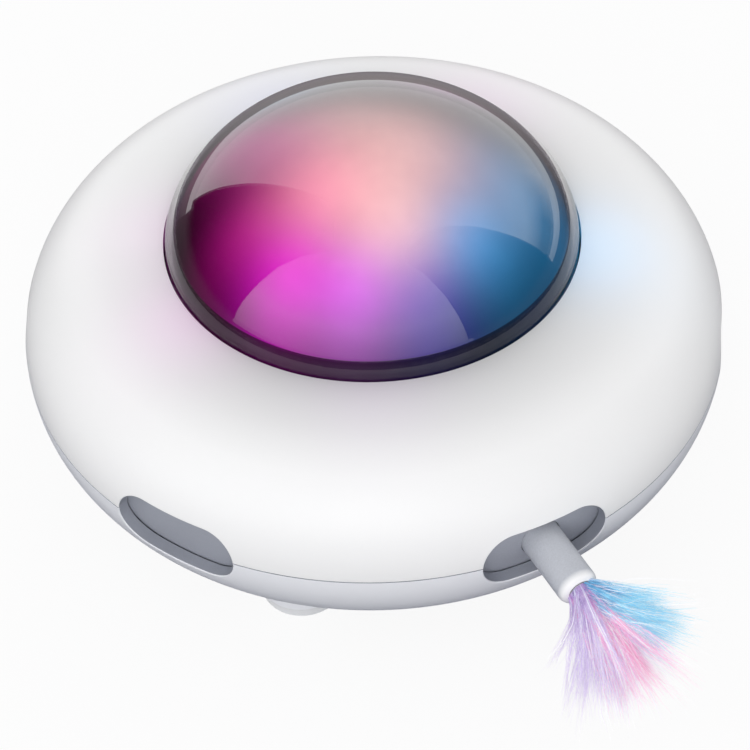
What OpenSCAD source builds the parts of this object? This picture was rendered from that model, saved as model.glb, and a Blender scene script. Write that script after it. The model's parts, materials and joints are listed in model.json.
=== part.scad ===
// Automatic cat feather toy: a round body whose turning drum pushes a feather wand out of its slots.
// The origin is on the floor under the turning axis, +Z is up and the wand points along -Y.

/* [Body] */
// Diameter of the body at the seam between its two shells
body_d = 185; // [178:1:195]
// Height of the seam above the floor
seam_z = 38; // [37:0.5:42]
// Radius of the upper shell's shoulder, in section
shoulder_r = 28.5; // [27.5:0.5:30]
// Angle that the shoulder sweeps before the crown takes over
shoulder_turn = 79; // [77:1:81]
// Radius of the upper shell's crown, in section
crown_r = 99; // [90:1:115]
// Radius of the lower shell's flank, in section
flank_r = 29.2; // [28:0.2:31]
// Angle that the flank sweeps before the belly takes over
flank_turn = 50; // [45:1:55]
// Height of the flat underside above the floor
base_z = 5; // [4.5:0.5:6]
// Thickness of both shells
wall = 3; // [2.6:0.2:3.2]

/* [Case joint] */
// Depth of the upper shell's lip below the seam
lip_h = 5; // [4:0.5:6]
// Radius of the snap bead on the lip
bead_r = 0.4; // [0.3:0.1:0.5]
// Gap round the lip
lip_play = 0.12; // [0.05:0.01:0.2]
// Side of the groove that marks the seam
seam_groove = 0.5; // [0.2:0.1:0.8]

/* [Slots] */
// Number of slots round the body
slot_n = 6; // [5:1:6]
// Width of a slot along the body
slot_w = 34.4; // [30:0.2:38]
// Height of a slot
slot_h = 16.6; // [15:0.2:18]
// How far a slot's middle lies below the seam
slot_drop = 0.5; // [0:0.1:1]

/* [Dome] */
// Diameter of the lens at its rim
dome_d = 106.9; // [100:0.1:112]
// Height of the lens above the rim
dome_h = 35.4; // [30:0.2:42]
// Power of the lens's curve: 2 is an ellipse and less is more pointed
dome_power = 1.74; // [1.6:0.02:2.2]
// Thickness of the lens
lens_wall = 1.6; // [1.2:0.1:2.4]
// Gap between the lens and the shell, and between lens and bezel
lens_play = 0.2; // [0.1:0.05:0.4]
// Width of the lens's flange under the shell
flange_w = 4; // [3:0.2:5]
// Thickness of the lens's flange
flange_t = 1.6; // [1.2:0.1:2]
// Thickness of the gasket above the flange
gasket_t = 0.8; // [0.5:0.1:1.2]
// Thickness of the bezel's wall
bezel_t = 0.8; // [0.6:0.1:1.2]
// Height of the bezel above the rim, as a share of the lens's height
bezel_share = 0.17; // [0.1:0.01:0.3]
// Thickness of the diffuser
diffuser_t = 1.2; // [0.8:0.1:1.6]

/* [Lamp] */
// Thickness of the lamp tray
tray_t = 2; // [1.6:0.1:2.6]
// Gap between the lamp tray and the slide pinion below it
tray_gap = 1.6; // [1:0.1:2]
// Diameter of the LED board
led_board_d = 76; // [60:1:84]
// Thickness of every circuit board
board_t = 1.6; // [1:0.1:2]
// Number of LEDs
led_n = 6; // [3:1:8]
// Side of an LED
led_w = 5; // [3:0.5:6]
// Radius of the circle of LEDs
led_ring_r = 26; // [20:1:28]

/* [Feet] */
// Diameter of a foot
foot_d = 21; // [16:0.5:24]
// Thickness of a foot's pad
foot_t = 3; // [2:0.1:3.5]
// Diameter of the circle of feet
foot_circle_d = 128; // [110:1:132]

/* [Turntable] */
// Gap between the drum wall and the shells that it follows
drum_gap = 0.75; // [0.6:0.05:1.5]
// Thickness of the drum wall
drum_wall = 2; // [1.6:0.1:2.6]
// How far the drum reaches below the seam
drum_drop = 11.5; // [11:0.1:12]
// How far the drum reaches above the seam
drum_rise = 10.5; // [9.5:0.1:11]
// Thickness of the deck
deck_t = 2.2; // [2:0.1:2.4]
// Diameter of the axle pin
axle_d = 5; // [4:0.1:6]
// Outer diameter of the axle bush
bush_d = 9; // [8:0.1:10]
// Diameter of the hub and of the gear's bore
hub_d = 16; // [14:0.5:18]

/* [Gears] */
// Module of all gears and the rack
gear_m = 1; // [0.8:0.1:1]
// Teeth of the turntable gear
ring_teeth = 60; // [48:12:60]
// Teeth of both pinions
pinion_teeth = 12; // [12:1:13]
// Height of the turntable gear
gear_h = 4.5; // [4:0.1:5]
// Diameter of both motor shafts
shaft_d = 3; // [2:0.1:3.2]

/* [Wand] */
// Diameter of the wand
wand_d = 10.4; // [9:0.1:11]
// Distance from the turning axis to the wand's tip
wand_reach = 108; // [104:1:114]
// Travel of the wand
wand_travel = 65; // [60:1:65]
// Radius of the wand's rounded tip
tip_r = 2.2; // [1.5:0.1:2.6]
// Width of the carriage
carriage_w = 12; // [11:0.5:13]
// Height of the rack's pitch line above the wand's axis
rack_rise = 5; // [5:0.1:6]
// Width of the rack and the slide pinion
rack_w = 6; // [4:0.5:7]

/* [Feather] */
// Diameter of the plug that holds the feather
plug_d = 6.6; // [6:0.1:7]
// Length of the plug
plug_l = 14; // [10:0.5:18]
// Diameter of the feather's root, across its corners
root_d = 5.2; // [4.6:0.1:5.4]
// Length of the feather
tuft_l = 38; // [32:1:38]
// Width of the feather at its end
tuft_w = 48; // [36:1:52]
// Height of the feather at its end
tuft_h = 34; // [24:1:40]
// Strands along one side of the root: three times its square strands in all
tuft_side = 10; // [6:1:11]
// Width of a strand half way along
hair_w = 0.3; // [0.2:0.05:0.4]

/* [Power] */
// Diameter of the drive motor
motor_d = 24; // [20:0.5:24]
// Height of the drive motor
motor_h = 12; // [10:0.5:12]
// Diameter of the battery cell
cell_d = 14.2; // [12:0.1:14.5]
// Length of the battery cell
cell_l = 50; // [40:1:52]
// Length of the control board, towards the charge socket
ctrl_l = 35; // [33:1:36]
// Width of the control board
ctrl_w = 40; // [34:1:44]
// Width of the charge socket
usb_w = 9; // [8:0.1:10]
// Height of the charge socket
usb_h = 3.2; // [3:0.1:3.6]
// Length of the charge socket
usb_l = 7.5; // [6.5:0.1:8]
// Diameter of the power button
button_d = 9; // [7:0.5:10]
// Travel of the power button
button_travel = 0.8; // [0.4:0.1:1]

/* [Fits] */
// Radial gap of a running fit
run_play = 0.04; // [0.02:0.01:0.06]
// Radial gap of a press or screwed fit
press_play = 0.01; // [0:0.01:0.03]
// Gap between sliding or turning faces
slide_play = 0.2; // [0.1:0.05:0.3]
// Diameter of the small screws
screw_d = 2; // [1.6:0.1:2.2]
// Height of a screw head
head_h = 1.2; // [0.8:0.1:1.4]

/* [Hidden] */
$fn = 64;
arc_n = 20;
body_r = body_d / 2;
dome_r = dome_d / 2;
rim_r = dome_r + lens_play;
head_d = 2 * screw_d;
boss_wall = 2;
boss_d = screw_d + 2 * boss_wall;
screw_end = 0.5;
screw_bite = 5;
short_bite = 3.5;
board_bite = 2.5;
hole_room = 1;
cut = 1;

// Section centres of the shells' arcs
shoulder_c = [body_r - shoulder_r, seam_z];
crown_c = shoulder_c - (crown_r - shoulder_r) * [cos(shoulder_turn), sin(shoulder_turn)];
flank_c = [body_r - flank_r, seam_z];
belly_r = (seam_z - base_z - flank_r * sin(flank_turn)) / (1 - sin(flank_turn));
belly_c = flank_c + (flank_r - belly_r) * [cos(flank_turn), -sin(flank_turn)];
function crown_z(r, o) = crown_c.y + sqrt(pow(crown_r - o, 2) - pow(r - crown_c.x, 2));
rim_z = crown_z(rim_r, 0);
floor_z = base_z + wall;

// Seats and studs of the feet
foot_rim = 0.8;
stud_d = foot_d / 3;
stud_top = base_z + wall / 2;
stud_play = 0.1;

// Case joint
lip_outer_r = body_r - wall / 2 - lip_play;
lip_lap = 0.15;
lip_inner_r = body_r - wall + lip_lap;
bead_z = seam_z - 0.6 * lip_h;
bead_turn = 14;

// Turntable heights
deck_z = seam_z - drum_drop;
deck_top = deck_z + deck_t;
gear_z = deck_z - gear_h;
hub_step = 1;
hub_z = gear_z - hub_step;
washer_t = 0.6;
washer_edge = 1;
bush_z = hub_z - slide_play;
washer_z = bush_z - run_play - washer_t;
clip_t = 0.7;
clip_lift = 0.1;
clip_z = deck_z + clip_lift;
clip_d = bush_d;
clip_room = 1.5;
groove_depth = 0.5;
groove_d = axle_d - 2 * groove_depth;
axle_sink = 1;
axle_inset = 0.4;
axle_top = deck_top - axle_inset;
deck_skin = 0.3;
drum_o = wall + drum_gap;
drum_r = flank_c.x + sqrt(pow(flank_r - drum_o, 2) - drum_drop * drum_drop);
drum_in_r = drum_r - drum_wall;

// Gears
pressure = 25;
backlash = 0.14;
addendum = 0.9 * gear_m;
dedendum = 1.15 * gear_m;
ring_r = gear_m * ring_teeth / 2;
pinion_r = gear_m * pinion_teeth / 2;
drive_y = ring_r + pinion_r;
pinion_gap = 0.3;

// Wand, carriage and slide drive, along the wand from the turning axis
rack_z = seam_z + rack_rise;
slide_z = rack_z + pinion_r;
rack_margin = 3;
tube_gap = 8;
tuft_room = 1;
tuft_back = drum_in_r - tuft_room - tuft_l;
carriage_stop = 5;
carriage_rear = wand_travel + carriage_stop - drum_in_r;
slide_u = carriage_rear + rack_margin;
carriage_front = slide_u + wand_travel + tube_gap + rack_margin;
spigot_d = 7;
spigot_l = 8;
guide_t = 1.5;
guide_z = deck_top + guide_t;
carriage_z = guide_z + slide_play / 2;
guide_in = carriage_w / 2 + slide_play;
guide_out = guide_in + guide_t;
guide_h = 5.8;
guide_spare = 1;
guide_rear = carriage_rear - wand_travel - guide_spare;
guide_clear = 8;
guide_front = tuft_back - guide_clear;
tab_w = 8;
tab_lap = 0.5;
tab_y = guide_out + tab_w / 2 - tab_lap;
tab_in = [20, 14];
tab_u = [guide_rear + tab_in.x, guide_front - tab_in.y];
rack_pitch = PI * gear_m;
rack_root = rack_z - dedendum;
tray_z = slide_z + pinion_r + addendum + tray_gap;
tray_top = tray_z + tray_t;

// Slide motor lying across the wand
bracket_t = 1.6;
bracket_gap = 0.5;
bracket_y = guide_out + bracket_gap;
gearbox_y = bracket_y + bracket_t;
gearbox_l = 9;
gearbox_end = 3;
gearbox_bite = 2.5;
shaft_room = 1;
slide_motor_l = 24;
slide_motor_w = 12;
slide_motor_h = 10;
bracket_w = 16;
bracket_foot = 18;
bracket_screw_in = 10;
bracket_screw_y = gearbox_y + bracket_screw_in;
gearbox_screw_u = 4.4;

// Lens stack under the rim
seat_step = 0.3;
seat_play = 0.1;
seat_edge = 1.5;
seat_w = flange_w + seat_edge;
flange_r = dome_r + flange_w;
seat_drop = max(seat_step, crown_z(rim_r, wall) - crown_z(flange_r, wall) + seat_play);
seat_z = rim_z - wall - seat_drop;
flange_top = seat_z - gasket_t;
flange_z = flange_top - flange_t;
bezel_o = lens_wall + lens_play;
diffuser_o = bezel_o + bezel_t + lens_play;
tray_r = flange_r + 2 * boss_d;
tray_screw_r = flange_r + boss_d;
tray_screw_n = 4;
led_lift = 2;
led_board_z = tray_top + led_lift;
led_h = 1.6;
led_screw_in = 4;
led_screw_r = led_board_d / 2 - led_screw_in;
led_screw_n = 3;
led_screw_depth = 3;

// Drive motor and its ears
ear_t = 1.2;
ear_reach = 3.5;
ear_x = motor_d / 2 + ear_reach;
motor_top = floor_z + motor_h;
shaft_seat = 6;
shaft_z = motor_top - shaft_seat;
motor_cup = [2, 3];

// Battery along Y
cell_gap = 10;
cell_x = -(ring_r + addendum + cell_d / 2 + cell_gap);
cell_lift = 1;
cell_z = floor_z + cell_lift + cell_d / 2;
cell_tip = 1;
saddle_in = 9;
saddle_y = cell_l / 2 - saddle_in;
saddle_edge = 1;
saddle_t = 4;
strap_t = 1.2;
strap_w = 10;
strap_ear_x = cell_d / 2 + strap_t + boss_d / 2;
strap_ear_z = cell_z;

// Control board, its socket, switch and button
ctrl_lift = 7;
ctrl_z = floor_z + ctrl_lift;
ctrl_top = ctrl_z + board_t;
usb_z = ctrl_top + usb_h / 2;
usb_in = 5;
usb_face = flank_c.x + sqrt(flank_r * flank_r - pow(seam_z - usb_z, 2)) - usb_in;
usb_wall = 3;
usb_recess = [13, 7];
usb_block = [20, 12];
usb_lap = 1;
ctrl_x = usb_face - usb_l + usb_lap - ctrl_l;
standoff = [5, 4];
button_in = 9;
button_x = ctrl_x + button_in;
button_proud = 1.4;
button_z = base_z - button_proud;
button_flange = 1;
button_seat = 0.5;
button_lip = 1.5;
button_wall = 4;
switch_h = 3.3;
plunger_h = 0.8;
stem_play = 0.05;
stem_top = ctrl_z - switch_h - plunger_h - button_travel - stem_play;

// Slip ring under the deck and its brushes
slip_t = 1.2;
track_t = 0.3;
track_w = 2;
track_pitch = 5;
slip_gap = 14;
slip_in_r = ring_r + slip_gap;
slip_w = 19;
slip_out_r = slip_in_r + slip_w;
slip_z = deck_z - slip_t;
track_z = slip_z - track_t;
track_n = 3;
brush_turn = 135;
track_edge = 3;
brush_r = slip_in_r + track_edge + track_pitch;
brush_drop = 7;
brush_base = track_z - brush_drop;
brush_h = 4;
brush_size = [16, 16];

// Points along an arc, and a list turned round
function polar(r, a) = r * [cos(a), sin(a)];
function arc(c, r, a0, a1, n) = [for (i = [0:n]) c + polar(r, a0 + (a1 - a0) * i / n)];
function tail(list) = [for (i = [1:len(list) - 1]) list[i]];
function turned(list) = [for (i = [len(list) - 1:-1:0]) list[i]];

// Section lines of the shells at a depth o under their outer face
function crown_end(o) = acos((rim_r - crown_c.x) / (crown_r - o));
function upper_line(o) = concat(
    arc(shoulder_c, shoulder_r - o, 0, shoulder_turn, arc_n),
    tail(arc(crown_c, crown_r - o, shoulder_turn, crown_end(o), 5))
);
function lower_line(o) = concat(
    arc(flank_c, flank_r - o, 0, -flank_turn, arc_n),
    tail(arc(belly_c, belly_r - o, -flank_turn, -90, 10)),
    [[0, base_z + o]]
);

// Section line of the drum wall at a depth o under the shells' outer face
function drum_line(o) = concat(
    arc(flank_c, flank_r - o, -asin(drum_drop / (flank_r - o)), 0, arc_n),
    tail(arc(shoulder_c, shoulder_r - o, 0, asin(drum_rise / (shoulder_r - o)), arc_n))
);

// Section line of the dome at a depth o under its outer face, up to a share of its height
function dome_point(o, t) = [
    (dome_r - o) * pow(1 - pow(t, dome_power), 1 / dome_power),
    rim_z + (dome_h - o) * t
];
function dome_line(o, share, n) = [for (i = [0:n]) dome_point(o, share * sin(90 * i / n))];

// Gear outline with involute flanks
function involute(a) = tan(a) * 180 / PI - a;
function flank_angle(teeth, q) =
    let (r = gear_m * teeth / 2)
    90 / teeth - backlash / (2 * r) * 90 / PI + involute(pressure)
    - involute(acos(min(1, r * cos(pressure) / q)));
function tooth(teeth) =
    let (
        r = gear_m * teeth / 2,
        low = max(r - dedendum, r * cos(pressure)),
        high = r + addendum,
        up = [for (i = [0:4]) low + (high - low) * i / 4],
        right = [for (q = up) q * [cos(-flank_angle(teeth, q)), sin(-flank_angle(teeth, q))]],
        root = flank_angle(teeth, low),
        foot = (r - dedendum) * [cos(root), -sin(root)]
    )
    concat([foot], right, [for (p = turned(right)) [p.x, -p.y]], [[foot.x, -foot.y]]);
function spun(p, a) = [p.x * cos(a) - p.y * sin(a), p.x * sin(a) + p.y * cos(a)];
function gear_line(teeth) = [for (k = [0:teeth - 1]) each [for (p = tooth(teeth)) spun(p, 360 * k / teeth)]];

// Places: along the wand, at each slot and at each post between the slots
module along_wand() {
    rotate([0, 0, -90]) children();
}

module around(n, start = 0) {
    for (k = [0:n - 1]) rotate([0, 0, start + 360 * k / n]) children();
}

module at_slots() {
    around(slot_n, -90) children();
}

module at_posts() {
    around(slot_n, -90 + 180 / slot_n) children();
}

module at_feet() {
    around(4, -45) translate([foot_circle_d / 2, 0, 0]) children();
}

// A ring, a screw with its head at the top, and the hole for one
module ring(r_out, r_in, h) {
    difference() {
        cylinder(r = r_out, h = h);
        translate([0, 0, -cut]) cylinder(r = r_in, h = h + 2 * cut);
    }
}

module screw(length) {
    translate([0, 0, -length]) cylinder(d = screw_d, h = length);
    difference() {
        cylinder(d = head_d, h = head_h);
        translate([0, 0, head_h / 2]) cube([head_d * 0.7, screw_d / 5, head_h], center = true);
        translate([0, 0, head_h / 2]) cube([screw_d / 5, head_d * 0.7, head_h], center = true);
    }
}

module screw_hole(depth) {
    translate([0, 0, -depth]) cylinder(d = screw_d + 2 * press_play, h = depth + cut);
}

// The stadium of a slot, cut outwards through both shells
module slot_cut() {
    side = slot_w / 2 - slot_h / 2;
    translate([body_r - 2 * wall - lip_h, 0, seam_z - slot_drop]) rotate([90, 0, 90])
        linear_extrude(4 * wall + lip_h)
            polygon(concat(
                arc([side, 0], slot_h / 2, -90, 90, arc_n),
                arc([-side, 0], slot_h / 2, 90, 270, arc_n)
            ));
}

// The groove round the outside of the seam, half in each shell
module seam_cut() {
    rotate_extrude() translate([body_r, seam_z]) rotate(45) square(seam_groove, center = true);
}

// The lower shell's full outer form, at a depth o
module lower_form(o) {
    rotate_extrude() polygon(concat([[0, seam_z]], lower_line(o)));
}

module lower_skin() {
    rotate_extrude() polygon(concat(lower_line(0), turned(lower_line(wall))));
}

module at_board_corners() {
    for (x = [ctrl_x + standoff.y, ctrl_x + ctrl_l - standoff.y], y = [-1, 1])
        translate([x, y * (ctrl_w / 2 - standoff.y), 0]) children();
}

module at_motor_ears() {
    for (side = [-1, 1]) translate([side * ear_x, drive_y, 0]) children();
}

module at_strap_ears() {
    for (side = [-1, 1]) translate([cell_x + side * strap_ear_x, 0, 0]) children();
}

module at_brushes() {
    rotate([0, 0, brush_turn]) translate([brush_r, 0, 0]) children();
}

// Posts and saddles that stand on the lower shell's floor
module floor_posts() {
    cylinder(d = hub_d - 2 * washer_edge, h = washer_z);
    at_motor_ears() cylinder(d = boss_d, h = motor_top - ear_t);
    at_board_corners() cylinder(d = standoff.x, h = ctrl_z);
    at_strap_ears() cylinder(d = boss_d, h = strap_ear_z);
    at_brushes() translate([-brush_size.x / 2, -brush_size.y / 2, 0])
        cube([brush_size.x, brush_size.y, brush_base]);
    for (y = [-saddle_y, saddle_y]) translate([cell_x - cell_d / 2 + saddle_edge, y - saddle_t / 2, 0])
        cube([cell_d - 2 * saddle_edge, saddle_t, cell_z - cell_d / 4]);
    translate([usb_face - usb_wall, -usb_block.x / 2, usb_z - usb_block.y / 2])
        cube([body_r - usb_face + usb_wall, usb_block.x, usb_block.y]);
    translate([button_x, 0, 0]) cylinder(d = button_d + 2 * button_wall, h = floor_z + button_seat);
    translate([0, drive_y, 0]) cylinder(d = motor_d + 2 * motor_cup.x, h = floor_z + motor_cup.y);
}

module lower_cuts() {
    at_slots() slot_cut();
    seam_cut();
    translate([0, 0, seam_z - lip_h - lip_play]) cylinder(r = body_r - wall / 2, h = lip_h + cut);
    rotate_extrude() translate([body_r - wall / 2, bead_z]) circle(r = bead_r + lip_play);
    translate([0, 0, floor_z - axle_sink]) cylinder(d = axle_d + 2 * press_play, h = washer_z);
    at_motor_ears() translate([0, 0, motor_top - ear_t]) screw_hole(screw_bite + hole_room);
    translate([0, drive_y, floor_z]) cylinder(d = motor_d + slide_play, h = motor_h);
    at_board_corners() translate([0, 0, ctrl_z]) screw_hole(short_bite + screw_end);
    at_strap_ears() translate([0, 0, strap_ear_z]) screw_hole(screw_bite + hole_room);
    translate([cell_x, -cell_l, cell_z]) rotate([-90, 0, 0])
        cylinder(d = cell_d + 2 * press_play, h = 2 * cell_l);
    translate([usb_face, -usb_recess.x / 2, usb_z - usb_recess.y / 2])
        cube([body_r, usb_recess.x, usb_recess.y]);
    translate([usb_face - 2 * usb_wall, -usb_w / 2 - slide_play, usb_z - usb_h / 2 - slide_play])
        cube([3 * usb_wall, usb_w + 2 * slide_play, usb_h + 2 * slide_play]);
    translate([button_x, 0, 0]) cylinder(d = button_d + 2 * slide_play, h = floor_z + cut);
    translate([button_x, 0, floor_z - button_seat])
        cylinder(d = button_d + 2 * (button_lip + button_seat), h = 2 * button_flange + cut);
    at_feet() translate([0, 0, foot_t - cut])
        cylinder(d = stud_d + 2 * press_play, h = stud_top + stud_play - foot_t + cut);
}

module lower_shell() {
    color("gainsboro") difference() {
        union() {
            lower_skin();
            difference() {
                at_feet() translate([0, 0, foot_t]) cylinder(d = foot_d + 2 * foot_rim, h = seam_z / 2);
                lower_form(wall / 2);
            }
            intersection() {
                floor_posts();
                lower_form(wall / 2);
            }
        }
        lower_cuts();
    }
}

module at_tray_screws() {
    around(tray_screw_n, 45) translate([tray_screw_r, 0, 0]) children();
}

module upper_shell() {
    color("white") difference() {
        union() {
            rotate_extrude() polygon(concat(upper_line(0), turned(upper_line(wall))));
            translate([0, 0, seat_z]) ring(rim_r + seat_w, rim_r, rim_z - seat_z - wall / 2);
            at_tray_screws() translate([0, 0, tray_top]) cylinder(d = boss_d, h = seat_z - tray_top + cut);
            translate([0, 0, seam_z - lip_h]) ring(lip_outer_r, lip_inner_r, lip_h + wall / 2);
            at_posts() rotate([0, 0, -bead_turn / 2]) rotate_extrude(angle = bead_turn)
                translate([lip_outer_r, bead_z]) circle(r = bead_r);
        }
        at_slots() slot_cut();
        seam_cut();
        at_tray_screws() translate([0, 0, tray_top]) rotate([180, 0, 0])
            screw_hole(short_bite + screw_end);
    }
}

module rubber_feet() {
    color("lightgray") at_feet() {
        cylinder(d = foot_d, h = foot_t);
        translate([0, 0, foot_t / 2]) cylinder(d = stud_d, h = stud_top - foot_t / 2);
    }
}

module dome_lens() {
    color([0.25, 0.15, 0.3, 0.6]) rotate_extrude() polygon(concat(
        [[flange_r, flange_z], [flange_r, flange_top], [dome_r, flange_top]],
        dome_line(0, 1, 2 * arc_n),
        turned(dome_line(lens_wall, 1, 2 * arc_n)),
        [[dome_r - lens_wall, flange_z]]
    ));
}

module lens_gasket() {
    color("black") translate([0, 0, flange_top]) ring(flange_r, rim_r, gasket_t);
}

module lens_bezel() {
    color("black") rotate_extrude() polygon(concat(
        [[flange_r, tray_top], [flange_r, flange_z], [dome_r - bezel_o, flange_z]],
        dome_line(bezel_o, bezel_share, 8),
        turned(dome_line(bezel_o + bezel_t, bezel_share, 8)),
        [[dome_r - bezel_o - bezel_t, tray_top]]
    ));
}

module light_diffuser() {
    color("hotpink") rotate_extrude() polygon(concat(
        [[dome_r - diffuser_o, tray_top]],
        dome_line(diffuser_o, 1, 2 * arc_n),
        turned(dome_line(diffuser_o + diffuser_t, 1, 2 * arc_n)),
        [[dome_r - diffuser_o - diffuser_t, tray_top]]
    ));
}

module at_led_screws() {
    around(led_screw_n, 180 / led_n) translate([led_screw_r, 0, 0]) children();
}

module lamp_tray() {
    color("whitesmoke") difference() {
        union() {
            translate([0, 0, tray_z]) cylinder(r = tray_r, h = tray_t);
            at_led_screws() translate([0, 0, tray_z]) cylinder(d = boss_d, h = led_board_z - tray_z);
        }
        at_tray_screws() translate([0, 0, tray_top]) screw_hole(tray_t + cut);
        at_led_screws() translate([0, 0, led_board_z]) screw_hole(led_screw_depth);
    }
}

module tray_screws() {
    color("silver") at_tray_screws() translate([0, 0, tray_z]) rotate([180, 0, 0]) screw(tray_t + short_bite);
}

module led_board() {
    color("green") difference() {
        translate([0, 0, led_board_z]) cylinder(d = led_board_d, h = board_t);
        at_led_screws() translate([0, 0, led_board_z + board_t]) screw_hole(board_t + cut);
    }
}

module led_screws() {
    color("silver") at_led_screws() translate([0, 0, led_board_z + board_t]) screw(board_t + board_bite);
}

module leds() {
    color("ivory") around(led_n) translate([led_ring_r - led_w / 2, -led_w / 2, led_board_z + board_t])
        difference() {
            cube([led_w, led_w, led_h]);
            translate([led_w / 2, led_w / 2, led_h / 2]) cylinder(d = led_w * 0.7, h = led_h);
        }
}

module axle_pin() {
    color("silver") difference() {
        translate([0, 0, floor_z - axle_sink]) cylinder(d = axle_d, h = axle_top - floor_z + axle_sink);
        translate([0, 0, clip_z]) ring(axle_d, groove_d / 2, clip_t);
    }
}

module thrust_washer() {
    color("black") translate([0, 0, washer_z])
        ring(hub_d / 2 - washer_edge, axle_d / 2 + slide_play, washer_t);
}

module axle_clip() {
    gap = groove_d * 0.7;
    color("dimgray") difference() {
        translate([0, 0, clip_z]) ring(clip_d / 2, groove_d / 2 + press_play, clip_t);
        translate([0, -gap / 2, clip_z - cut]) cube([clip_d, gap, clip_t + 2 * cut]);
    }
}

module drive_motor() {
    color("silver") difference() {
        union() {
            translate([0, drive_y, floor_z]) cylinder(d = motor_d, h = motor_h);
            translate([-ear_x, drive_y - boss_d / 2, motor_top - ear_t]) cube([2 * ear_x, boss_d, ear_t]);
            at_motor_ears() translate([0, 0, motor_top - ear_t]) cylinder(d = boss_d, h = ear_t);
        }
        at_motor_ears() translate([0, 0, motor_top]) screw_hole(ear_t + cut);
        translate([0, drive_y, shaft_z]) cylinder(d = shaft_d + 2 * run_play, h = motor_h);
    }
}

module motor_screws() {
    color("silver") at_motor_ears() translate([0, 0, motor_top]) screw(ear_t + screw_bite);
}

module drive_shaft() {
    color("silver") translate([0, drive_y, shaft_z + run_play])
        cylinder(d = shaft_d, h = deck_z - pinion_gap - shaft_z - run_play);
}

module drive_pinion() {
    half_tooth = 180 / pinion_teeth;
    color("ivory") translate([0, drive_y, gear_z + pinion_gap]) rotate([0, 0, half_tooth - 90])
        difference() {
            linear_extrude(gear_h - 2 * pinion_gap) polygon(gear_line(pinion_teeth));
            translate([0, 0, -cut]) cylinder(d = shaft_d + 2 * press_play, h = gear_h + 2 * cut);
        }
}

module battery_cell() {
    color("royalblue") translate([cell_x, -cell_l / 2, cell_z]) rotate([-90, 0, 0]) {
        cylinder(d = cell_d, h = cell_l - cell_tip);
        cylinder(d = cell_d / 3, h = cell_l);
    }
}

module battery_strap() {
    inner = cell_d / 2 + press_play;
    color("whitesmoke") difference() {
        union() {
            translate([cell_x, -strap_w / 2, cell_z]) rotate([-90, 0, 0])
                cylinder(r = inner + strap_t, h = strap_w);
            at_strap_ears() translate([0, 0, strap_ear_z]) cylinder(d = boss_d, h = strap_t);
            translate([cell_x - strap_ear_x, -boss_d / 2, strap_ear_z])
                cube([2 * strap_ear_x, boss_d, strap_t]);
        }
        translate([cell_x, -strap_w, cell_z]) rotate([-90, 0, 0]) cylinder(r = inner, h = 2 * strap_w);
        translate([cell_x - cell_d, -strap_w, cell_z - cell_d]) cube([2 * cell_d, 2 * strap_w, cell_d]);
        at_strap_ears() translate([0, 0, strap_ear_z + strap_t]) screw_hole(strap_t + cut);
    }
}

module strap_screws() {
    color("silver") at_strap_ears() translate([0, 0, strap_ear_z + strap_t]) screw(strap_t + screw_bite);
}

module control_board() {
    color("darkgreen") difference() {
        translate([ctrl_x, -ctrl_w / 2, ctrl_z]) cube([ctrl_l, ctrl_w, board_t]);
        at_board_corners() translate([0, 0, ctrl_top]) screw_hole(board_t + cut);
    }
}

module board_screws() {
    color("silver") at_board_corners() translate([0, 0, ctrl_top]) screw(board_t + short_bite);
}

module board_chips() {
    chip = [7, 7, 1.6];
    coil = [5, 5, 3];
    color("black") {
        translate([ctrl_x + ctrl_l / 2 - chip.x / 2, -chip.y / 2, ctrl_top]) cube(chip);
        translate([ctrl_x + ctrl_l / 2 - coil.x / 2, chip.y, ctrl_top]) cube(coil);
    }
}

module vibration_sensor() {
    can = [4, 8];
    color("gold") translate([ctrl_x + ctrl_l / 2, -can.x * 2.5, ctrl_top]) cylinder(d = can.x, h = can.y / 2);
}

module tact_switch() {
    side = 6;
    color("dimgray") translate([button_x, 0, ctrl_z]) {
        translate([-side / 2, -side / 2, -switch_h]) cube([side, side, switch_h]);
        translate([0, 0, -switch_h - plunger_h]) cylinder(d = side / 2, h = plunger_h + switch_h / 2);
    }
}

module power_button() {
    color("gray") translate([button_x, 0, 0]) {
        translate([0, 0, button_z]) cylinder(d = button_d, h = floor_z - button_z);
        translate([0, 0, floor_z - button_seat + run_play])
            cylinder(d = button_d + 2 * button_lip, h = button_flange);
        translate([0, 0, floor_z - button_seat])
            cylinder(d = button_d / 2, h = stem_top - floor_z + button_seat);
    }
}

module charge_socket() {
    skin = 0.35;
    back = 1;
    tongue = [5.5, 6.4, 0.7];
    end = usb_h / 2;
    color("silver") translate([usb_face - usb_l, 0, usb_z]) {
        rotate([90, 0, 90]) difference() {
            linear_extrude(usb_l) polygon(concat(
                arc([usb_w / 2 - end, 0], end, -90, 90, 10),
                arc([end - usb_w / 2, 0], end, 90, 270, 10)
            ));
            translate([0, 0, back]) linear_extrude(usb_l) polygon(concat(
                arc([usb_w / 2 - end, 0], end - skin, -90, 90, 10),
                arc([end - usb_w / 2, 0], end - skin, 90, 270, 10)
            ));
        }
        translate([back / 2, -tongue.y / 2, -tongue.z / 2]) cube([tongue.x, tongue.y, tongue.z]);
    }
}

module brush_holder() {
    color("dimgray") at_brushes() translate([-brush_size.x / 2, -brush_size.y / 2, brush_base])
        cube([brush_size.x, brush_size.y, brush_h]);
}

module contact_brushes() {
    leaf = 0.3;
    toe = [2, 0.5];
    rest_z = brush_base + brush_h;
    rise = track_z - run_play - rest_z - leaf;
    half = brush_size.y / 2;
    color("goldenrod") at_brushes() for (k = [-1:track_n - 2])
        translate([k * track_pitch + track_w / 3, 0, rest_z]) rotate([90, 0, -90])
            linear_extrude(track_w * 2 / 3) polygon([
                [-half, 0], [0, 0], [half - toe.x, rise], [half, rise - toe.y],
                [half, rise - toe.y + leaf], [half - toe.x, rise + leaf], [-2 / 3 * leaf, leaf], [-half, leaf]
            ]);
}

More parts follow.
